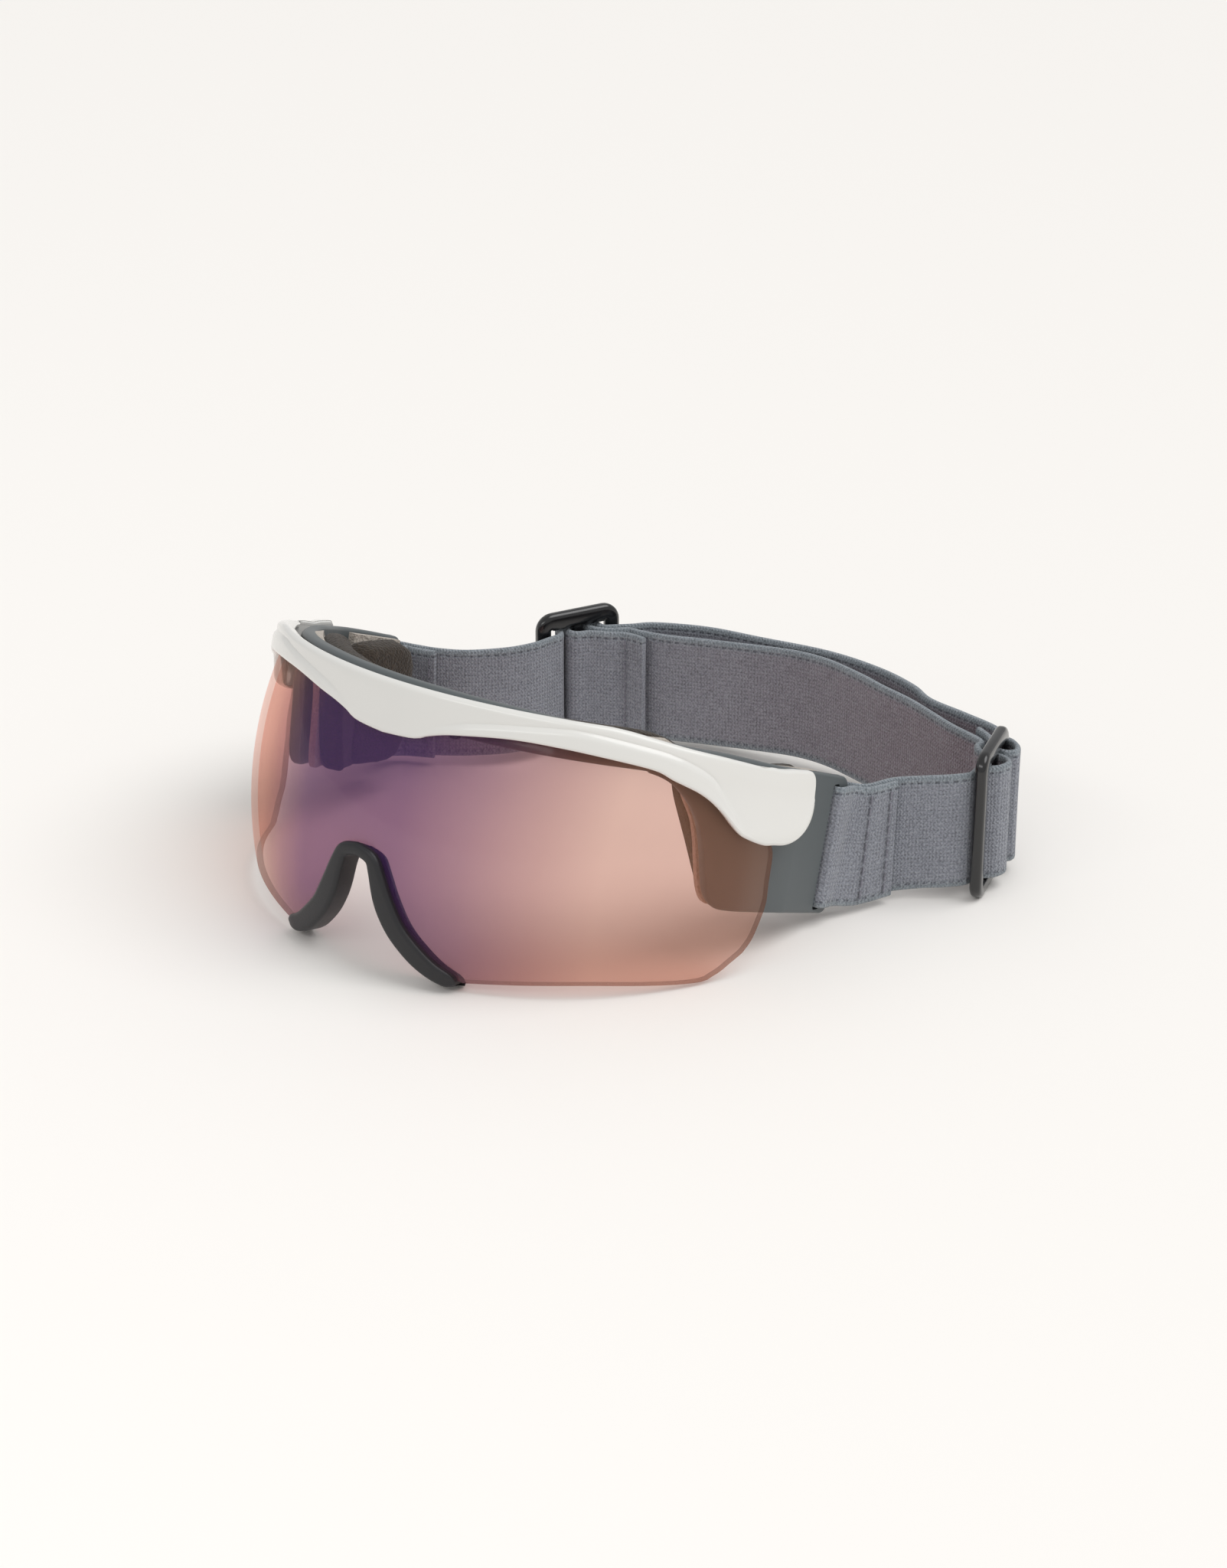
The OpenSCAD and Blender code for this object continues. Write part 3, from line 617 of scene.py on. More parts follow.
def brow_ring(angle):
    """The brow's section at an angle: low edge, lip, crease, face, top shelf and inner wall."""
    a = abs(angle)
    past = ramp_up(a, 72, 75.5)
    lo = (1 - past) * brow_low(min(a, 74.5)) + past * (PIVOT[1] - paddle_edge(a))
    hi = (1 - past) * brow_high(min(a, 75)) + past * paddle_top(a)
    tall = max(hi - lo, 0.02)
    lip = 0.8 * ramp_up(a, 8, 17) * (1 - ramp_up(a, 64, 70))
    plate = ramp_up(a, 50, 71)
    shelf = 2.1 * (1 - plate)
    edge, soft = min(0.8, 0.45 * tall), min(1.3 - 0.5 * plate, 0.35 * tall)
    low_face = brow_face(lo)
    # lower edge, lip and crease
    pts = [(low_face + lip - inward, lo + up) for inward, up in quarter(edge)]
    c0 = lo + edge
    c1 = max(min(max(brow_crease(min(a, 74.5)), lo + 0.3 * min(tall, 1)), hi - 0.45 * tall),
             c0 + 0.02)
    pts += [(brow_face(c0 + (c1 - c0) * t) + lip * (1 - 0.12 * t), c0 + (c1 - c0) * t)
            for t in (0.3, 0.6, 0.85)]
    step = min(1.5, 0.25 * tall)
    pts.append((brow_face(c1) + lip * 0.72, c1 + 0.15 * step))
    pts.append((brow_face(c1) + lip * 0.2, c1 + 0.45 * step))
    pts.append((brow_face(c1) - lip * 0.12, c1 + 0.75 * step))
    # the face above it, up to the rounded top
    top0 = hi - soft
    for t in (0.06, 0.25, 0.5, 0.75, 1.0):
        v = c1 + step + (top0 - c1 - step) * t
        pts.append((brow_face(v), v))
    pts += [(brow_face(hi) - up, top0 + soft - inward)
            for inward, up in quarter(soft)[1:]]
    # the shelf that slopes back, then the inner wall, which clears the lens
    inner = hinge_room(a, brow_face(hi) - BROW_WALL)
    drop = 1.6 * (1 - plate)
    pts.append((inner + 0.3, hi - 0.1 * drop))
    pts.append((inner - shelf + 0.5, hi - 0.85 * drop))
    pts.append((inner - shelf, hi - drop - min(0.4, 0.1 * tall)))
    pts.append((inner - shelf + 0.3 * (1 - plate), hi - drop - min(1.0, 0.2 * tall)))
    pts.append((inner + 0.05, hi - min(3.6 * (1 - plate) + 0.6, 0.4 * tall)))
    for t in (0.55, 0.35, 0.2, 0.08, 0.0):
        v = lo + max(tall * t, min(0.15, 0.05 * tall))
        clear = brow_face(v) - BROW_WALL
        if a < 72:
            clear = max(clear, (lens_radius(v) + 0.12) * (1 - plate) + clear * plate)
        clear = hinge_room(a, clear)
        pts.append((clear + (min(0.3, 0.1 * tall) if t == 0 else 0), v))
    return [round_head(angle, r, v) for r, v in pts]


disc_end = math.degrees(math.acos((HEAD_Y - PIVOT[0] - PADDLE_R) / (BROW_R + 0.6)))
side_angles = list(np.linspace(0, 50, 46)) + list(np.linspace(51, 72, 40))
u = np.linspace(0, 1, 26)[1:]
side_angles += [72 + (disc_end - 0.02 - 72) * math.sin(math.pi / 2 * k) for k in u]
brow_angles = [-a for a in side_angles[:0:-1]] + side_angles
brow = loft("brow_frame", [brow_ring(a) for a in brow_angles])


def disc(name, x0, x1, r, bevel):
    """A round plate on the hinge's axis, from x0 to x1, with softened edges."""
    select_none()
    bpy.ops.mesh.primitive_cylinder_add(vertices=64, radius=r * MM, depth=(x1 - x0) * MM,
                                        rotation=(0, math.pi / 2, 0),
                                        location=leant((x0 + x1) / 2, *PIVOT))
    piece = settle(fresh(name))
    finish_with(piece, "BEVEL", width=bevel * MM, segments=3, limit_method="ANGLE")
    return piece


def paddle_boss():
    """The flat round boss inside a paddle, grown into the curved wall behind it."""
    flat, grown = [], []
    for k in range(64):
        a = 2 * math.pi * k / 64
        y, v = PIVOT[0] + BOSS_R * math.cos(a), PIVOT[1] + BOSS_R * math.sin(a)
        wall_x = math.sqrt((BROW_R - 1.4) ** 2 - (HEAD_Y - y) ** 2)
        flat.append(leant(BOSS_X, y, v))
        grown.append(leant(max(wall_x, BOSS_X + 0.05), y, v))
    return loft("boss", [flat, grown])


boss = paddle_boss()
brow = joined("brow_frame", brow, boss, mirrored(boss, "boss_right"))
smooth(brow, 38)
brow.data.materials.append(white_gloss)
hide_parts("brow_frame")
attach(brow, "visor")
print("brow", len(brow.data.polygons), "faces")

# %% [markdown]
# ## The inner frame
# A grey bar runs behind the brow and turns down into an arm at each side, which carries the
# strap in a slot. The ring and the arms are one sweep again. The slot is cut afterwards with a
# rounded block, because a hole through a sweep is far easier to cut than to weave in.

# %% Inner frame
ARM_X, ARM_T, FRAME_R, ARM_LEN = 71.6, 3.0, 72.0, 35.0
frame_low = table([(0, 3), (44, 3), (50, 2.4), (54.5, 0.4), (58, -3.5), (60.6, -8.5), (62.2, -14),
                   (63.4, -20), (64.6, -25), (66.8, -28), (70, -28.9), (77, -29.5), (84, -30.3),
                   (91, -31.5), (98.6, -32.8)])
frame_high = table([(0, 12.8), (12, 12.7), (24.6, 12.3), (33.7, 11.7), (44, 10.8), (56.4, 9.2),
                    (64.5, 8.2), (70.8, 7), (77, 5.7), (84, 4.4), (90, 3.1), (96.3, 1.6),
                    (98.6, 1.3)])
TURN = 83.9
FLAT_Y = HEAD_Y - FRAME_R * math.cos(math.radians(TURN))


def frame_ring(angle, behind=0.0, shrink=0.0):
    """The bar's or arm's section: round the head up to the turn, then straight back."""
    a = abs(angle)
    sweep = a + behind * 0.75
    lo, hi = frame_low(sweep) + shrink, frame_high(sweep) - shrink
    bar = 1 - ramp_up(a, 66, 80)
    big, small = min(0.8 + 0.4 * bar, 0.45 * (hi - lo)), min(0.8, 0.4 * (hi - lo))

    def face(v):
        return FRAME_R - (1.4 * ramp_up(v, -6, 3) + 0.9 * ramp_up(v, 8, 13)) * bar

    def back(v):
        return face(v) - ARM_T - 0.4 * ramp_up(v, 3, 9) * bar

    # the outer face goes up, with an edge at both ends, and the inner face comes down
    steps = [k / 10 for k in range(1, 10)]
    outer = [(-inward, lo + up) for inward, up in quarter(big, 6)]
    outer += [(0, lo + big + (hi - lo - 2 * big) * t) for t in steps]
    outer += [(-up, hi - inward) for inward, up in quarter(big, 6)]
    inner = [(inward, hi - up) for inward, up in quarter(small, 6)]
    inner += [(0, hi - small - (hi - lo - 2 * small) * t) for t in steps]
    inner += [(up, lo + inward) for inward, up in quarter(small, 6)]
    pts = [(face(v) + depth, v) for depth, v in outer]
    pts += [(back(v) + depth, v) for depth, v in inner]
    if behind == 0:
        return [round_head(angle, r, v) for r, v in pts]
    sign = 1 if angle > 0 else -1
    return [leant(sign * (ARM_X - (FRAME_R - r)), FLAT_Y + behind, v) for r, v in pts]


ring_angles = list(np.linspace(0, 44, 36)) + list(np.linspace(45, 70, 64)) \
    + list(np.linspace(71, TURN, 16))
# an arm's straight part, and the round corners at its end
tail, corner = ARM_LEN - FLAT_Y, 2.2
tails = [(b, 0) for b in np.linspace(0.5, tail - corner, 16)]
tails += [(tail - b, corner - math.sqrt(corner ** 2 - (corner - b) ** 2))
          for b in (1.6, 1.1, 0.7, 0.4, 0.15, 0.0)]
arm_left = [frame_ring(TURN, b, s) for b, s in tails]
arm_right = [frame_ring(-TURN, b, s) for b, s in tails]
bar = [frame_ring(-a) for a in ring_angles[:0:-1]] + [frame_ring(a) for a in ring_angles]
inner_frame = loft("inner_frame", arm_right[::-1] + bar + arm_left)


def block(name, lo, hi, bevel):
    """A box in the leaning frame with rounded edges."""
    select_none()
    bpy.ops.mesh.primitive_cube_add(size=1)
    piece = fresh(name)
    centre = [(a + b) / 2 for a, b in zip(lo, hi)]
    piece.scale = [(b - a) * MM for a, b in zip(lo, hi)]
    settle(piece)
    finish_with(piece, "BEVEL", width=bevel * MM, segments=4, limit_method="NONE")
    piece.rotation_euler = (-LEAN, 0, 0)
    piece.location = leant(*centre)
    return settle(piece)


def cut(piece, cutter):
    finish_with(piece, "BOOLEAN", operation="DIFFERENCE", object=cutter, solver="EXACT")
    bpy.data.objects.remove(cutter, do_unlink=True)


SLOT_Y, SLOT_W, STRAP_V, STRAP_W = ARM_LEN - 3.8, 2.5, -15.6, 30.0
SLOT_HALF = STRAP_W / 2 + 0.5
hinge_boss = disc("hinge_boss", 66.4, 70.0, BOSS_R, 0.3)
hinge_twin = mirrored(hinge_boss, "hinge_boss_right")
for side in (-1, 1):
    x0, x1 = sorted((side * (ARM_X - ARM_T - 3), side * (ARM_X + 3)))
    cut(inner_frame, block("slot", (x0, SLOT_Y - SLOT_W, STRAP_V - SLOT_HALF),
                           (x1, SLOT_Y, STRAP_V + SLOT_HALF), 0.7))
inner_frame = joined("inner_frame", inner_frame, hinge_boss, hinge_twin)
smooth(inner_frame, 35)
inner_frame.data.materials.append(grey_satin)
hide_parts("inner_frame")
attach(inner_frame, "frame")
print("inner frame", len(inner_frame.data.polygons), "faces")

# %% [markdown]
# ## The nose pad
# A rubber arch pushed over the edge of the nose cut. It is one soft section led along the cut:
# proud in front of the lens, and reaching back behind it to meet the nose.

# %% Nose pad
pad_line = curve([(25.6, LOW_V - 7.6), (20.6, -50.9), (16.4, -47.6), (12, -43), (8.6, -37),
                  (5.8, -31), (3.9, -28), (0, -26.9)], 10)
pad_line = spread(np.concatenate([pad_line, pad_line[-2::-1] * [-1, 1]]), 121)


def pad_rings():
    rings = []
    n = len(pad_line)
    for i, (x, v) in enumerate(pad_line):
        a, b = pad_line[max(i - 1, 0)], pad_line[min(i + 1, n - 1)]
        t = (b - a) / np.linalg.norm(b - a)
        out = np.array([t[1], -t[0]])
        end = min(i, n - 1 - i)
        thin = 1.0 if end > 4 else math.sqrt(max(1 - ((5 - end) / 5) ** 2, 0.02))
        leg = abs(1 - 2 * i / (n - 1))
        outer = 1.9 * thin
        inner = (1.4 + 2.0 * ramp_up(leg, 0.05, 0.45) * (1 - 0.55 * ramp_up(leg, 0.7, 1))) * thin
        front, rear = 2.3 * (0.55 + 0.45 * thin), -4.6 * (0.5 + 0.5 * thin)
        ring = []
        for d, w in box_section(-inner, outer, rear, front, 1.15 * thin, 5):
            w -= 1.5 * ramp_up(-d, 1.7, 2.8) if w > 0 else 0
            px, pv = x + out[0] * w, v + out[1] * w
            r = lens_radius(pv) + d
            ring.append(leant(px, HEAD_Y - math.sqrt(r * r - px * px), pv))
        rings.append(ring)
    return rings


nose_pad = loft("nose_pad", pad_rings())
smooth(nose_pad, 50)
nose_pad.data.materials.append(nose_rubber)
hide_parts("nose_pad")
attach(nose_pad, "visor")
print("nose pad", len(nose_pad.data.polygons), "faces")

# %% [markdown]
# ## The strap
# Two elastic bands leave the arms, run through the ladder sliders and overlap behind the head.
# Each is a section with rolled edges led along the same round-numbered stations as in the
# measured model. It is made in lengths. A length that lies on one body is attached to it, and a
# length that reaches from one body to another is baked in place and attached to none.

# %% Strap routes
# each slider's place, its turn seen from above and the side that it is on
SLIDERS = {"left": ((91.7, 65.4), 107.9, 1), "right": ((-38.3, 69.4), 65.4, -1)}
STRAP_T, MID_Z = 1.6, 18.4


def at_slider(which, s, o):
    """A place near a slider: s along the strap, o outwards."""
    (x, y), turn, side = SLIDERS[which]
    c, d = math.cos(math.radians(turn)), math.sin(math.radians(turn))
    return (x + s * c + side * o * d, y + s * d - side * o * c, MID_Z, 0)


def at_arm(side, x, y):
    """A place in an arm's slot, where the band leans with the frame."""
    px, py, pz = leant(side * x, y, STRAP_V)
    return (px / MM, py / MM, pz / MM, 15)


def arm_loop(side):
    slot, inn, out = SLOT_Y - 1.1, ARM_X - ARM_T - 1.1, ARM_X + 1.1
    return [at_arm(side, x, y) for x, y in (
        (inn, ARM_LEN + 0.9), (inn, slot + 2.7), (inn + 0.1, slot + 1), (inn + 0.7, slot + 0.15),
        (inn + 1.7, slot), (out - 1.7, slot), (out - 0.7, slot + 0.15), (out - 0.1, slot + 1),
        (out, slot + 2.7), (out, ARM_LEN + 0.9))]


PLY = STRAP_T + 0.3
flap_left = [(79, 42.6, 17.1, 3), (75.3, 35.1, 16.8, 9)]
front_left = [(75.3 - PLY * 0.93, 35.1 + PLY * 0.37, 16.8, 9),
              (79 - PLY * 0.83, 42.6 + PLY * 0.56, 17.1, 3),
              (83.7 - PLY * 0.35, 47.6 + PLY * 0.35, 17.7, 0), (88.2, 51.7, 18.2, 0)]
front_right = [(-70.9, 33.1, 17.3, 11), (-66.3, 34.9, 17.2, 7), (-59.5, 37.1, 17.4, 3),
               (-52, 40.8, 17.8, 0), (-44.4, 47.5, 18.2, 0), (-40.6, 54, 18.4, 0)]
flap_right = [(-59.5 + PLY * 0.37, 37.1 - PLY * 0.93, 17.4, 3),
              (-66.3 + PLY * 0.33, 34.9 - PLY * 0.95, 17.2, 7)]
inner_back = [(83.2, 73.6), (72.4, 77), (57.2, 83.2), (46.5, 86.2), (37.9, 89), (26.5, 91.6),
              (17, 91.4), (6.9, 88.3), (-8, 82.6), (-17, 79), (-24.6, 77.4)]
outer_back = [(-23.4, 84.5), (-10.9, 90.2), (3.7, 92.9), (22.9, 96.2), (39.5, 95.1),
              (52.2, 91.3), (60.4, 86.7), (71.6, 84.6), (82.2, 82.3)]
run_left = [(-9.4, -3), (-6.4, -2.1), (-4.4, 0.4), (-2.9, 2.7), (0, 4.1), (2.4, 2.9), (3.3, 0.8),
            (3.6, -1.6), (4.6, -4), (7.2, -5.4)]
fold_right = [(11.6, -6.8), (7, -4.8), (4.6, -2.8), (3.1, -0.4), (2.6, 1.6), (1.3, 2.7),
              (-1.2, 2.7), (-2.6, 1.4), (-2.7, -1.4), (-1.3, -3), (1.4, -3.7), (3.6, -5.2),
              (5.8, -7), (9.6, -9.6), (12, -14.6)]
run_right = [(-9.4, -3), (-6.4, -2.2), (-4.8, 0.2), (-4.4, 2.6), (-2.6, 4.5), (0, 4.9), (3, 4.6),
             (5.2, 2.6), (6.1, 0.2), (6.8, -2.2), (9.4, -3.4), (13.6, -5)]
fold_left = [(14.6, -1.5), (12.8, 1.7), (10, 3.8), (7.4, 4.2), (6.1, 2.4), (6.3, 0), (6.7, -1.8),
             (8.2, -2.8), (11, -3), (13.4, -4), (17, -7.6)]


def level(points):
    return [(x, y, MID_Z, 0) for x, y in points]


def by(which, points):
    return [at_slider(which, s, o) for s, o in points]


left_route = flap_left + arm_loop(1)[::-1] + front_left + by("left", run_left) + level(inner_back) \
    + by("right", fold_right)
right_route = flap_right + arm_loop(-1) + front_right + by("right", run_right) \
    + level(outer_back) + by("left", fold_left)
print("stations", len(left_route), len(right_route))

# %% [markdown]
# A band's section goes round once: the flat outer face, a rolled edge, the inner face and the
# other edge. Two maps are laid on it as it is built. One runs along and across in millimetres
# for the knit, and the other says which face is the inner one and where the edges are.

# %% Band lengths
BAND_STEPS = 6
HALF, THICK, ROLL = STRAP_W / 2, STRAP_T / 2, 0.9


def band_section():
    """Places round a section: across, outwards, which face it is on, how near an edge."""
    flat = HALF - ROLL
    out = []
    for inside, sign in ((0.0, 1), (1.0, -1)):
        for k in range(13):
            w = sign * (k / 6 - 1)
            out.append((w * flat, sign * (THICK - 0.08 * (1 - abs(w) ** 3)), inside, abs(w) ** 14))
        for k in range(1, 6):
            a = math.radians(sign * 90 - 180 * k / 6)
            out.append((sign * flat + ROLL * math.cos(a), THICK * math.sin(a) * 1.04,
                        abs(inside - k / 6), 1.0))
    return out


SECTION = band_section()


def band(name, route, first, last, outer):
    """One length of webbing from station first to station last of a route."""
    path = curve(route, BAND_STEPS)
    far = np.concatenate([[0], np.cumsum(np.linalg.norm(np.diff(path[:, :3], axis=0), axis=1))])
    rings, at = [], []
    for i in range(first * BAND_STEPS, last * BAND_STEPS + 1):
        a, b, p = path[max(i - 1, 0)], path[min(i + 1, len(path) - 1)], path[i]
        along = (b - a)[:3] / np.linalg.norm((b - a)[:3])
        tip = math.radians(p[3])
        rise = np.array([0, math.sin(tip), math.cos(tip)])
        thick = np.cross(along, rise)
        thick = outer * thick / np.linalg.norm(thick)
        rings.append([tuple((p[:3] + w * rise + t * thick) * MM) for w, t, _, _ in SECTION])
        at.append(far[i])
    piece = skin(name, [ring + ring[:1] for ring in rings])
    cloth = piece.data.uv_layers.new(name="cloth")
    sides = piece.data.uv_layers.new(name="side")
    m = len(SECTION) + 1
    for loop in piece.data.loops:
        row, col = divmod(loop.vertex_index, m)
        w, _, inside, rim = SECTION[col % len(SECTION)]
        cloth.data[loop.index].uv = (at[row], w)
        sides.data[loop.index].uv = (inside, rim)
    tidy(piece)
    smooth(piece, 60)
    piece.data.materials.append(webbing)
    return piece


def metres(point):
    return tuple(c * MM for c in point[:3])


ROUTES = {"left": (left_route, 1), "right": (right_route, -1)}
# the stations before the front run, and the one named as the start of its bend, read but not used
ARM_END = len(flap_left) + len(arm_loop(1))
BEND_FROM = {"left": ARM_END + 1, "right": ARM_END + 2}
# a length's first and last station, the body it rides on and the body at its far end; a length
# whose far end is on another body is baked in place and attached to neither
LENGTHS = (("left", "front", 0, ARM_END + 4, "frame", "slider_left"),
           ("left", "run", ARM_END + 4, ARM_END + 14, "slider_left", None),
           ("left", "back_near", ARM_END + 14, ARM_END + 19, "slider_left", "frame"),
           ("left", "back_far", ARM_END + 19, ARM_END + 25, "frame", "slider_right"),
           ("left", "fold", ARM_END + 25, len(left_route) - 1, "slider_right", None),
           ("right", "front", 0, ARM_END + 6, "frame", "slider_right"),
           ("right", "run", ARM_END + 6, ARM_END + 18, "slider_right", None),
           ("right", "back_far", ARM_END + 18, ARM_END + 22, "slider_right", "frame"),
           ("right", "back_near", ARM_END + 22, ARM_END + 27, "frame", "slider_left"),
           ("right", "fold", ARM_END + 27, len(right_route) - 1, "slider_left", None))

for which, part, first, last, body, other in LENGTHS:
    route, outer = ROUTES[which]
    piece = band("strap_" + which + "_" + part, route, first, last, outer)
    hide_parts("strap_" + which)
    if other is None:
        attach(piece, body)
    else:
        start = route[BEND_FROM[which] if part == "front" else first]
        metres(start)
        metres(route[last])
        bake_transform(piece)
print("strap lengths made")

# %% [markdown]
# ## The ladder sliders
# A gloss black frame with three upright bars. The outside frame is one rounded section led round
# a rounded rectangle, and the middle bar is a rounded post that dips into it at both ends.

# %% Sliders
SLIDER_H, PITCH, BAR_W, SLIDER_T, RIM = 38.5, 9.4, 2.8, 3.0, 0.7
BRIDGES = (3.2, 4.8)


def slider(which):
    """A slider: the outside frame as a hoop, and the middle bar as a post in it."""
    (x, y), turn, _ = SLIDERS[which]
    c, d = math.cos(math.radians(turn)), math.sin(math.radians(turn))

    def place(s, o, z):
        return ((x + s * c - o * d) * MM, (y + s * d + o * c) * MM, z * MM)

    low, high = BRIDGES
    corner, side_w = 4.6, BAR_W + RIM + 0.5
    s0, z0, z1 = PITCH + side_w - BAR_W / 2 - corner, corner, SLIDER_H - corner
    line = []
    for cs, cz, a0, bridge in ((s0, z1, 0, high), (-s0, z1, 90, high),
                               (-s0, z0, 180, low), (s0, z0, 270, low)):
        for k in range(9):
            a = math.radians(a0 + 90 * k / 8)
            deep = side_w + (bridge - side_w) * math.sin(a) ** 2
            line.append((cs, cz, math.cos(a), math.sin(a), deep))
    rings = []
    for cs, cz, ns, nz, deep in line + line[:1]:
        ring = []
        for p, q in squared_round(20, 3.2):
            reach = corner - deep / 2 + p * deep / 2
            ring.append(place(cs + ns * reach, q * SLIDER_T / 2, cz + nz * reach))
        rings.append(ring)
    hoop = loft("hoop", rings)
    top = SLIDER_H - high
    post = []
    for z, grow in ((low - 0.6, 1.25), (low + 0.4, 1.0), (SLIDER_H / 2, 1.0), (top - 0.4, 1.0),
                    (top + 0.6, 1.25)):
        post.append([place(p * BAR_W / 2 * grow, q * SLIDER_T / 2 * 0.97, z)
                     for p, q in squared_round(20, 3)])
    bar = loft("post", post)
    piece = joined("slider_" + which, hoop, bar)
    smooth(piece, 50)
    piece.data.materials.append(black_gloss)
    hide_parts("slider_" + which)
    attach(piece, "slider_" + which)
    return piece


for which in SLIDERS:
    made = slider(which)
    print(made.name, len(made.data.polygons), "faces")

# %% [markdown]
# ## Foam
# The brow foam is a crowned roll behind the bar, and each arm carries a soft block on a pale felt
# backing. Foam is cut and heat-formed: flat where it is glued, full in front, with drawn-in
# edges. The roll is led round the head as the frame is. A block is a stack of rounded rings, and
# its front end goes on round the head, with a slanting edge that the felt shows beside.

# %% Foam
BACK_X = ARM_X - ARM_T - 2.5
FOAM_IN = 8.0
WING_START, WING_END = 56.6, 76


def brow_foam_rings():
    """The roll's sections, from one end to the other, drawn in at both."""
    out, deep, mid, tall, ends = 65.2, 7.0, 6.5, 8.2, 57.5
    rings = []
    for k in range(81):
        angle = -ends + 2 * ends * k / 80
        rest = (ends - abs(angle)) / 12.0
        full = math.sqrt(max(1 - max(1 - rest, 0) ** 2, 0.001))
        puff = 1 + 0.03 * math.sin(angle * 0.9)
        ring = []
        for p, q in squared_round(24, 2.6):
            r = out - deep / 2 * (1 - p) * (0.35 + 0.65 * full) * puff
            ring.append(round_head(angle, min(r, out), mid + q * tall / 2 * full))
        rings.append(ring)
    return rings


brow_foam = loft("brow_foam", brow_foam_rings())
smooth(brow_foam, 60)
brow_foam.data.materials.append(foam)
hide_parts("brow_foam")
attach(brow_foam, "frame")


def foam_wing(side, low, outer, deep, radius):
    """A front end, which follows the inside of the frame with a slanting edge."""
    rings = []
    for k in range(41):
        angle = WING_START + (WING_END - WING_START) * k / 40
        thick = deep
        if deep > 2:
            # foam swells from its edge, where felt is as thick as elsewhere
            thick *= math.sqrt(1 - (1 - min((angle - WING_START + 0.2) / 3.5, 1)) ** 2)
        rings.append([round_head(side * angle, r, v) for r, v in
                      box_section(low(angle), 1.0, outer - thick, outer, radius, 5)])
    return loft("foam_wing", rings)


foam_edge = table([(56.5, 0.6), (57.6, -2), (63, -14), (69.4, -27.6), (72, -28.4), (78, -28.4)])
felt_edge = table([(57, 0.4), (58.4, -3.5), (61, -8.5), (62.6, -14), (63.8, -20), (65, -25),
                   (66.9, -28.2), (70, -28.6), (78, -28.6)])


def temple_pad(name, side):
    """A crowned block with its front end, and the felt edge beside it."""
    x1, y0, y1, v0, v1 = BACK_X - 2.1, 4.0, 28.5, -29.0, 3.2
    rows = []
    for j in range(27):
        a = -math.pi / 2 + math.pi * j / 26
        up = math.sin(a)
        wide = abs(math.cos(a)) ** 0.3
        # 0 on the free face and 1 at the arm: the free face is a little smaller
        depth = (1 - math.copysign(abs(up) ** 0.35, up)) / 2
        draw = wide * (1 - 0.10 * (1 - depth) ** 2) / 2
        x = side * (x1 - FOAM_IN * (1 - depth))
        rows.append([leant(x, (y0 + y1) / 2 + p * (y1 - y0) * draw,
                           (v0 + v1) / 2 + q * (v1 - v0) * draw) for p, q in squared_round(30, 5)])
    wing = foam_wing(side, foam_edge, outer=65.0, deep=6.0, radius=1.6)
    piece = joined(name, loft(name, rows), wing)
    piece.data.materials.append(foam)
    felt = foam_wing(side, felt_edge, outer=66.9, deep=1.7, radius=0.3)
    felt.data.materials.append(backing)
    piece = joined(name, piece, felt)
    smooth(piece, 60)
    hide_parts(name)
    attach(piece, "frame")
    return piece


for name, side in (("temple_foam_left", 1), ("temple_foam_right", -1)):
    temple_pad(name, side)
print("foam made")

# %% [markdown]
# ## Carried-over pieces
# Small measured pieces keep their own shape and get the right finish: the felt backings, the
# hinge hardware, the lens pins and the rows of stitches.

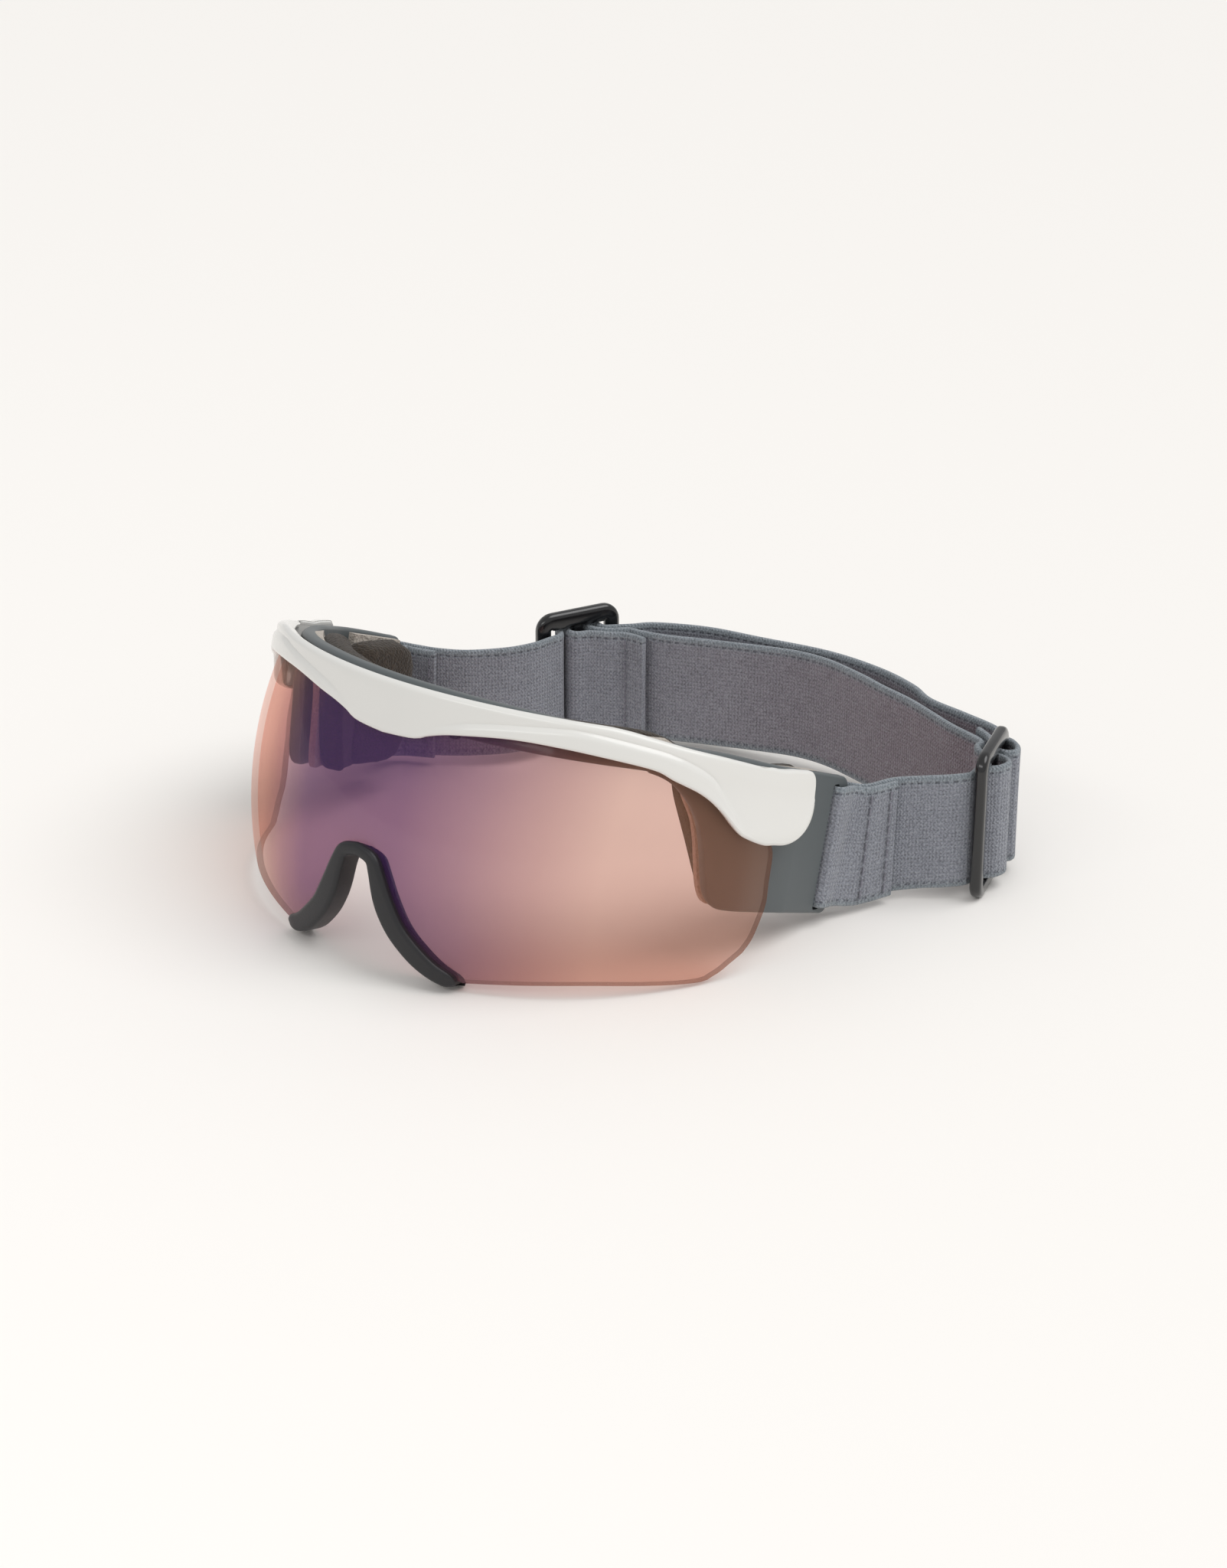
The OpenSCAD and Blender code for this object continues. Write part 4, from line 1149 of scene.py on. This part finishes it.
# %% Finishes on measured nodes
CARRIED = {"brow_backing": backing, "foam_backing_left": backing, "foam_backing_right": backing,
           "hinge_screw_left": brass, "hinge_screw_right": brass, "hinge_insert_left": brass,
           "hinge_insert_right": brass, "friction_washer_left": dark_plastic,
           "friction_washer_right": dark_plastic, "lens_pins": dark_plastic,
           "arm_stitches_left": thread, "arm_stitches_right": thread,
           "fold_stitches_left": thread, "fold_stitches_right": thread}
for name, finish in CARRIED.items():
    mesh = nodes[name].data
    mesh.materials.clear()
    mesh.materials.append(finish)
print("carried", len(CARRIED))

# %% [markdown]
# ## Studio
# The photograph is a plain product shot: a pale warm floor that runs into the backdrop, soft
# light from above and a long lens. The floor shows its own colour to the camera and keeps the
# soft shadow, and the world is white to reflections.

# %% Camera
cam_data = bpy.data.cameras.new("camera")
cam_data.sensor_fit = "HORIZONTAL"
cam_data.sensor_width = 36.0
cam_data.lens = 101.06
cam_data.clip_start, cam_data.clip_end = 0.05, 20
camera = bpy.data.objects.new("camera", cam_data)
bpy.context.collection.objects.link(camera)
AZ, EL = math.radians(37.66), math.radians(25.2)
back = Vector((math.sin(AZ) * math.cos(EL), -math.cos(AZ) * math.cos(EL), math.sin(EL)))
camera.location = (0.4791, -0.5855, 0.3805)
camera.rotation_euler = (-back).to_track_quat("-Z", "Y").to_euler()
bpy.context.scene.camera = camera

# %% Floor, light and world
select_none()
bpy.ops.mesh.primitive_plane_add(size=12, location=(0, 0, -0.0002))
floor = fresh("floor")
f = Finish("pale_floor", Roughness=0.95, Specular_IOR_Level=0.1)
f.set("Base Color", colour(249, 246, 242))
floor.data.materials.append(f.material)

world = bpy.data.worlds.new("studio")
bpy.context.scene.world = world
world.use_nodes = True
sky = world.node_tree.nodes["Background"]
sky.inputs[0].default_value = (1.0, 1.0, 1.0, 1)
sky.inputs[1].default_value = 0.6


def lamp(name, kind, place, aim, **settings):
    data = bpy.data.lights.new(name, kind)
    for key, value in settings.items():
        setattr(data, key, value)
    thing = bpy.data.objects.new(name, data)
    bpy.context.collection.objects.link(thing)
    thing.location = place
    thing.rotation_euler = (Vector(aim) - Vector(place)).to_track_quat("-Z", "Y").to_euler()


lamp("high_sun", "SUN", (0.55, 0.25, 1.0), (0, 0, 0), energy=1.35, angle=math.radians(45))
lamp("strip_light", "AREA", (0.1, -0.9, 0.75), (0, 0, 0.04), energy=1.6, shape="RECTANGLE",
     size=0.9, size_y=0.2)
bpy.context.scene.view_settings.view_transform = "Standard"
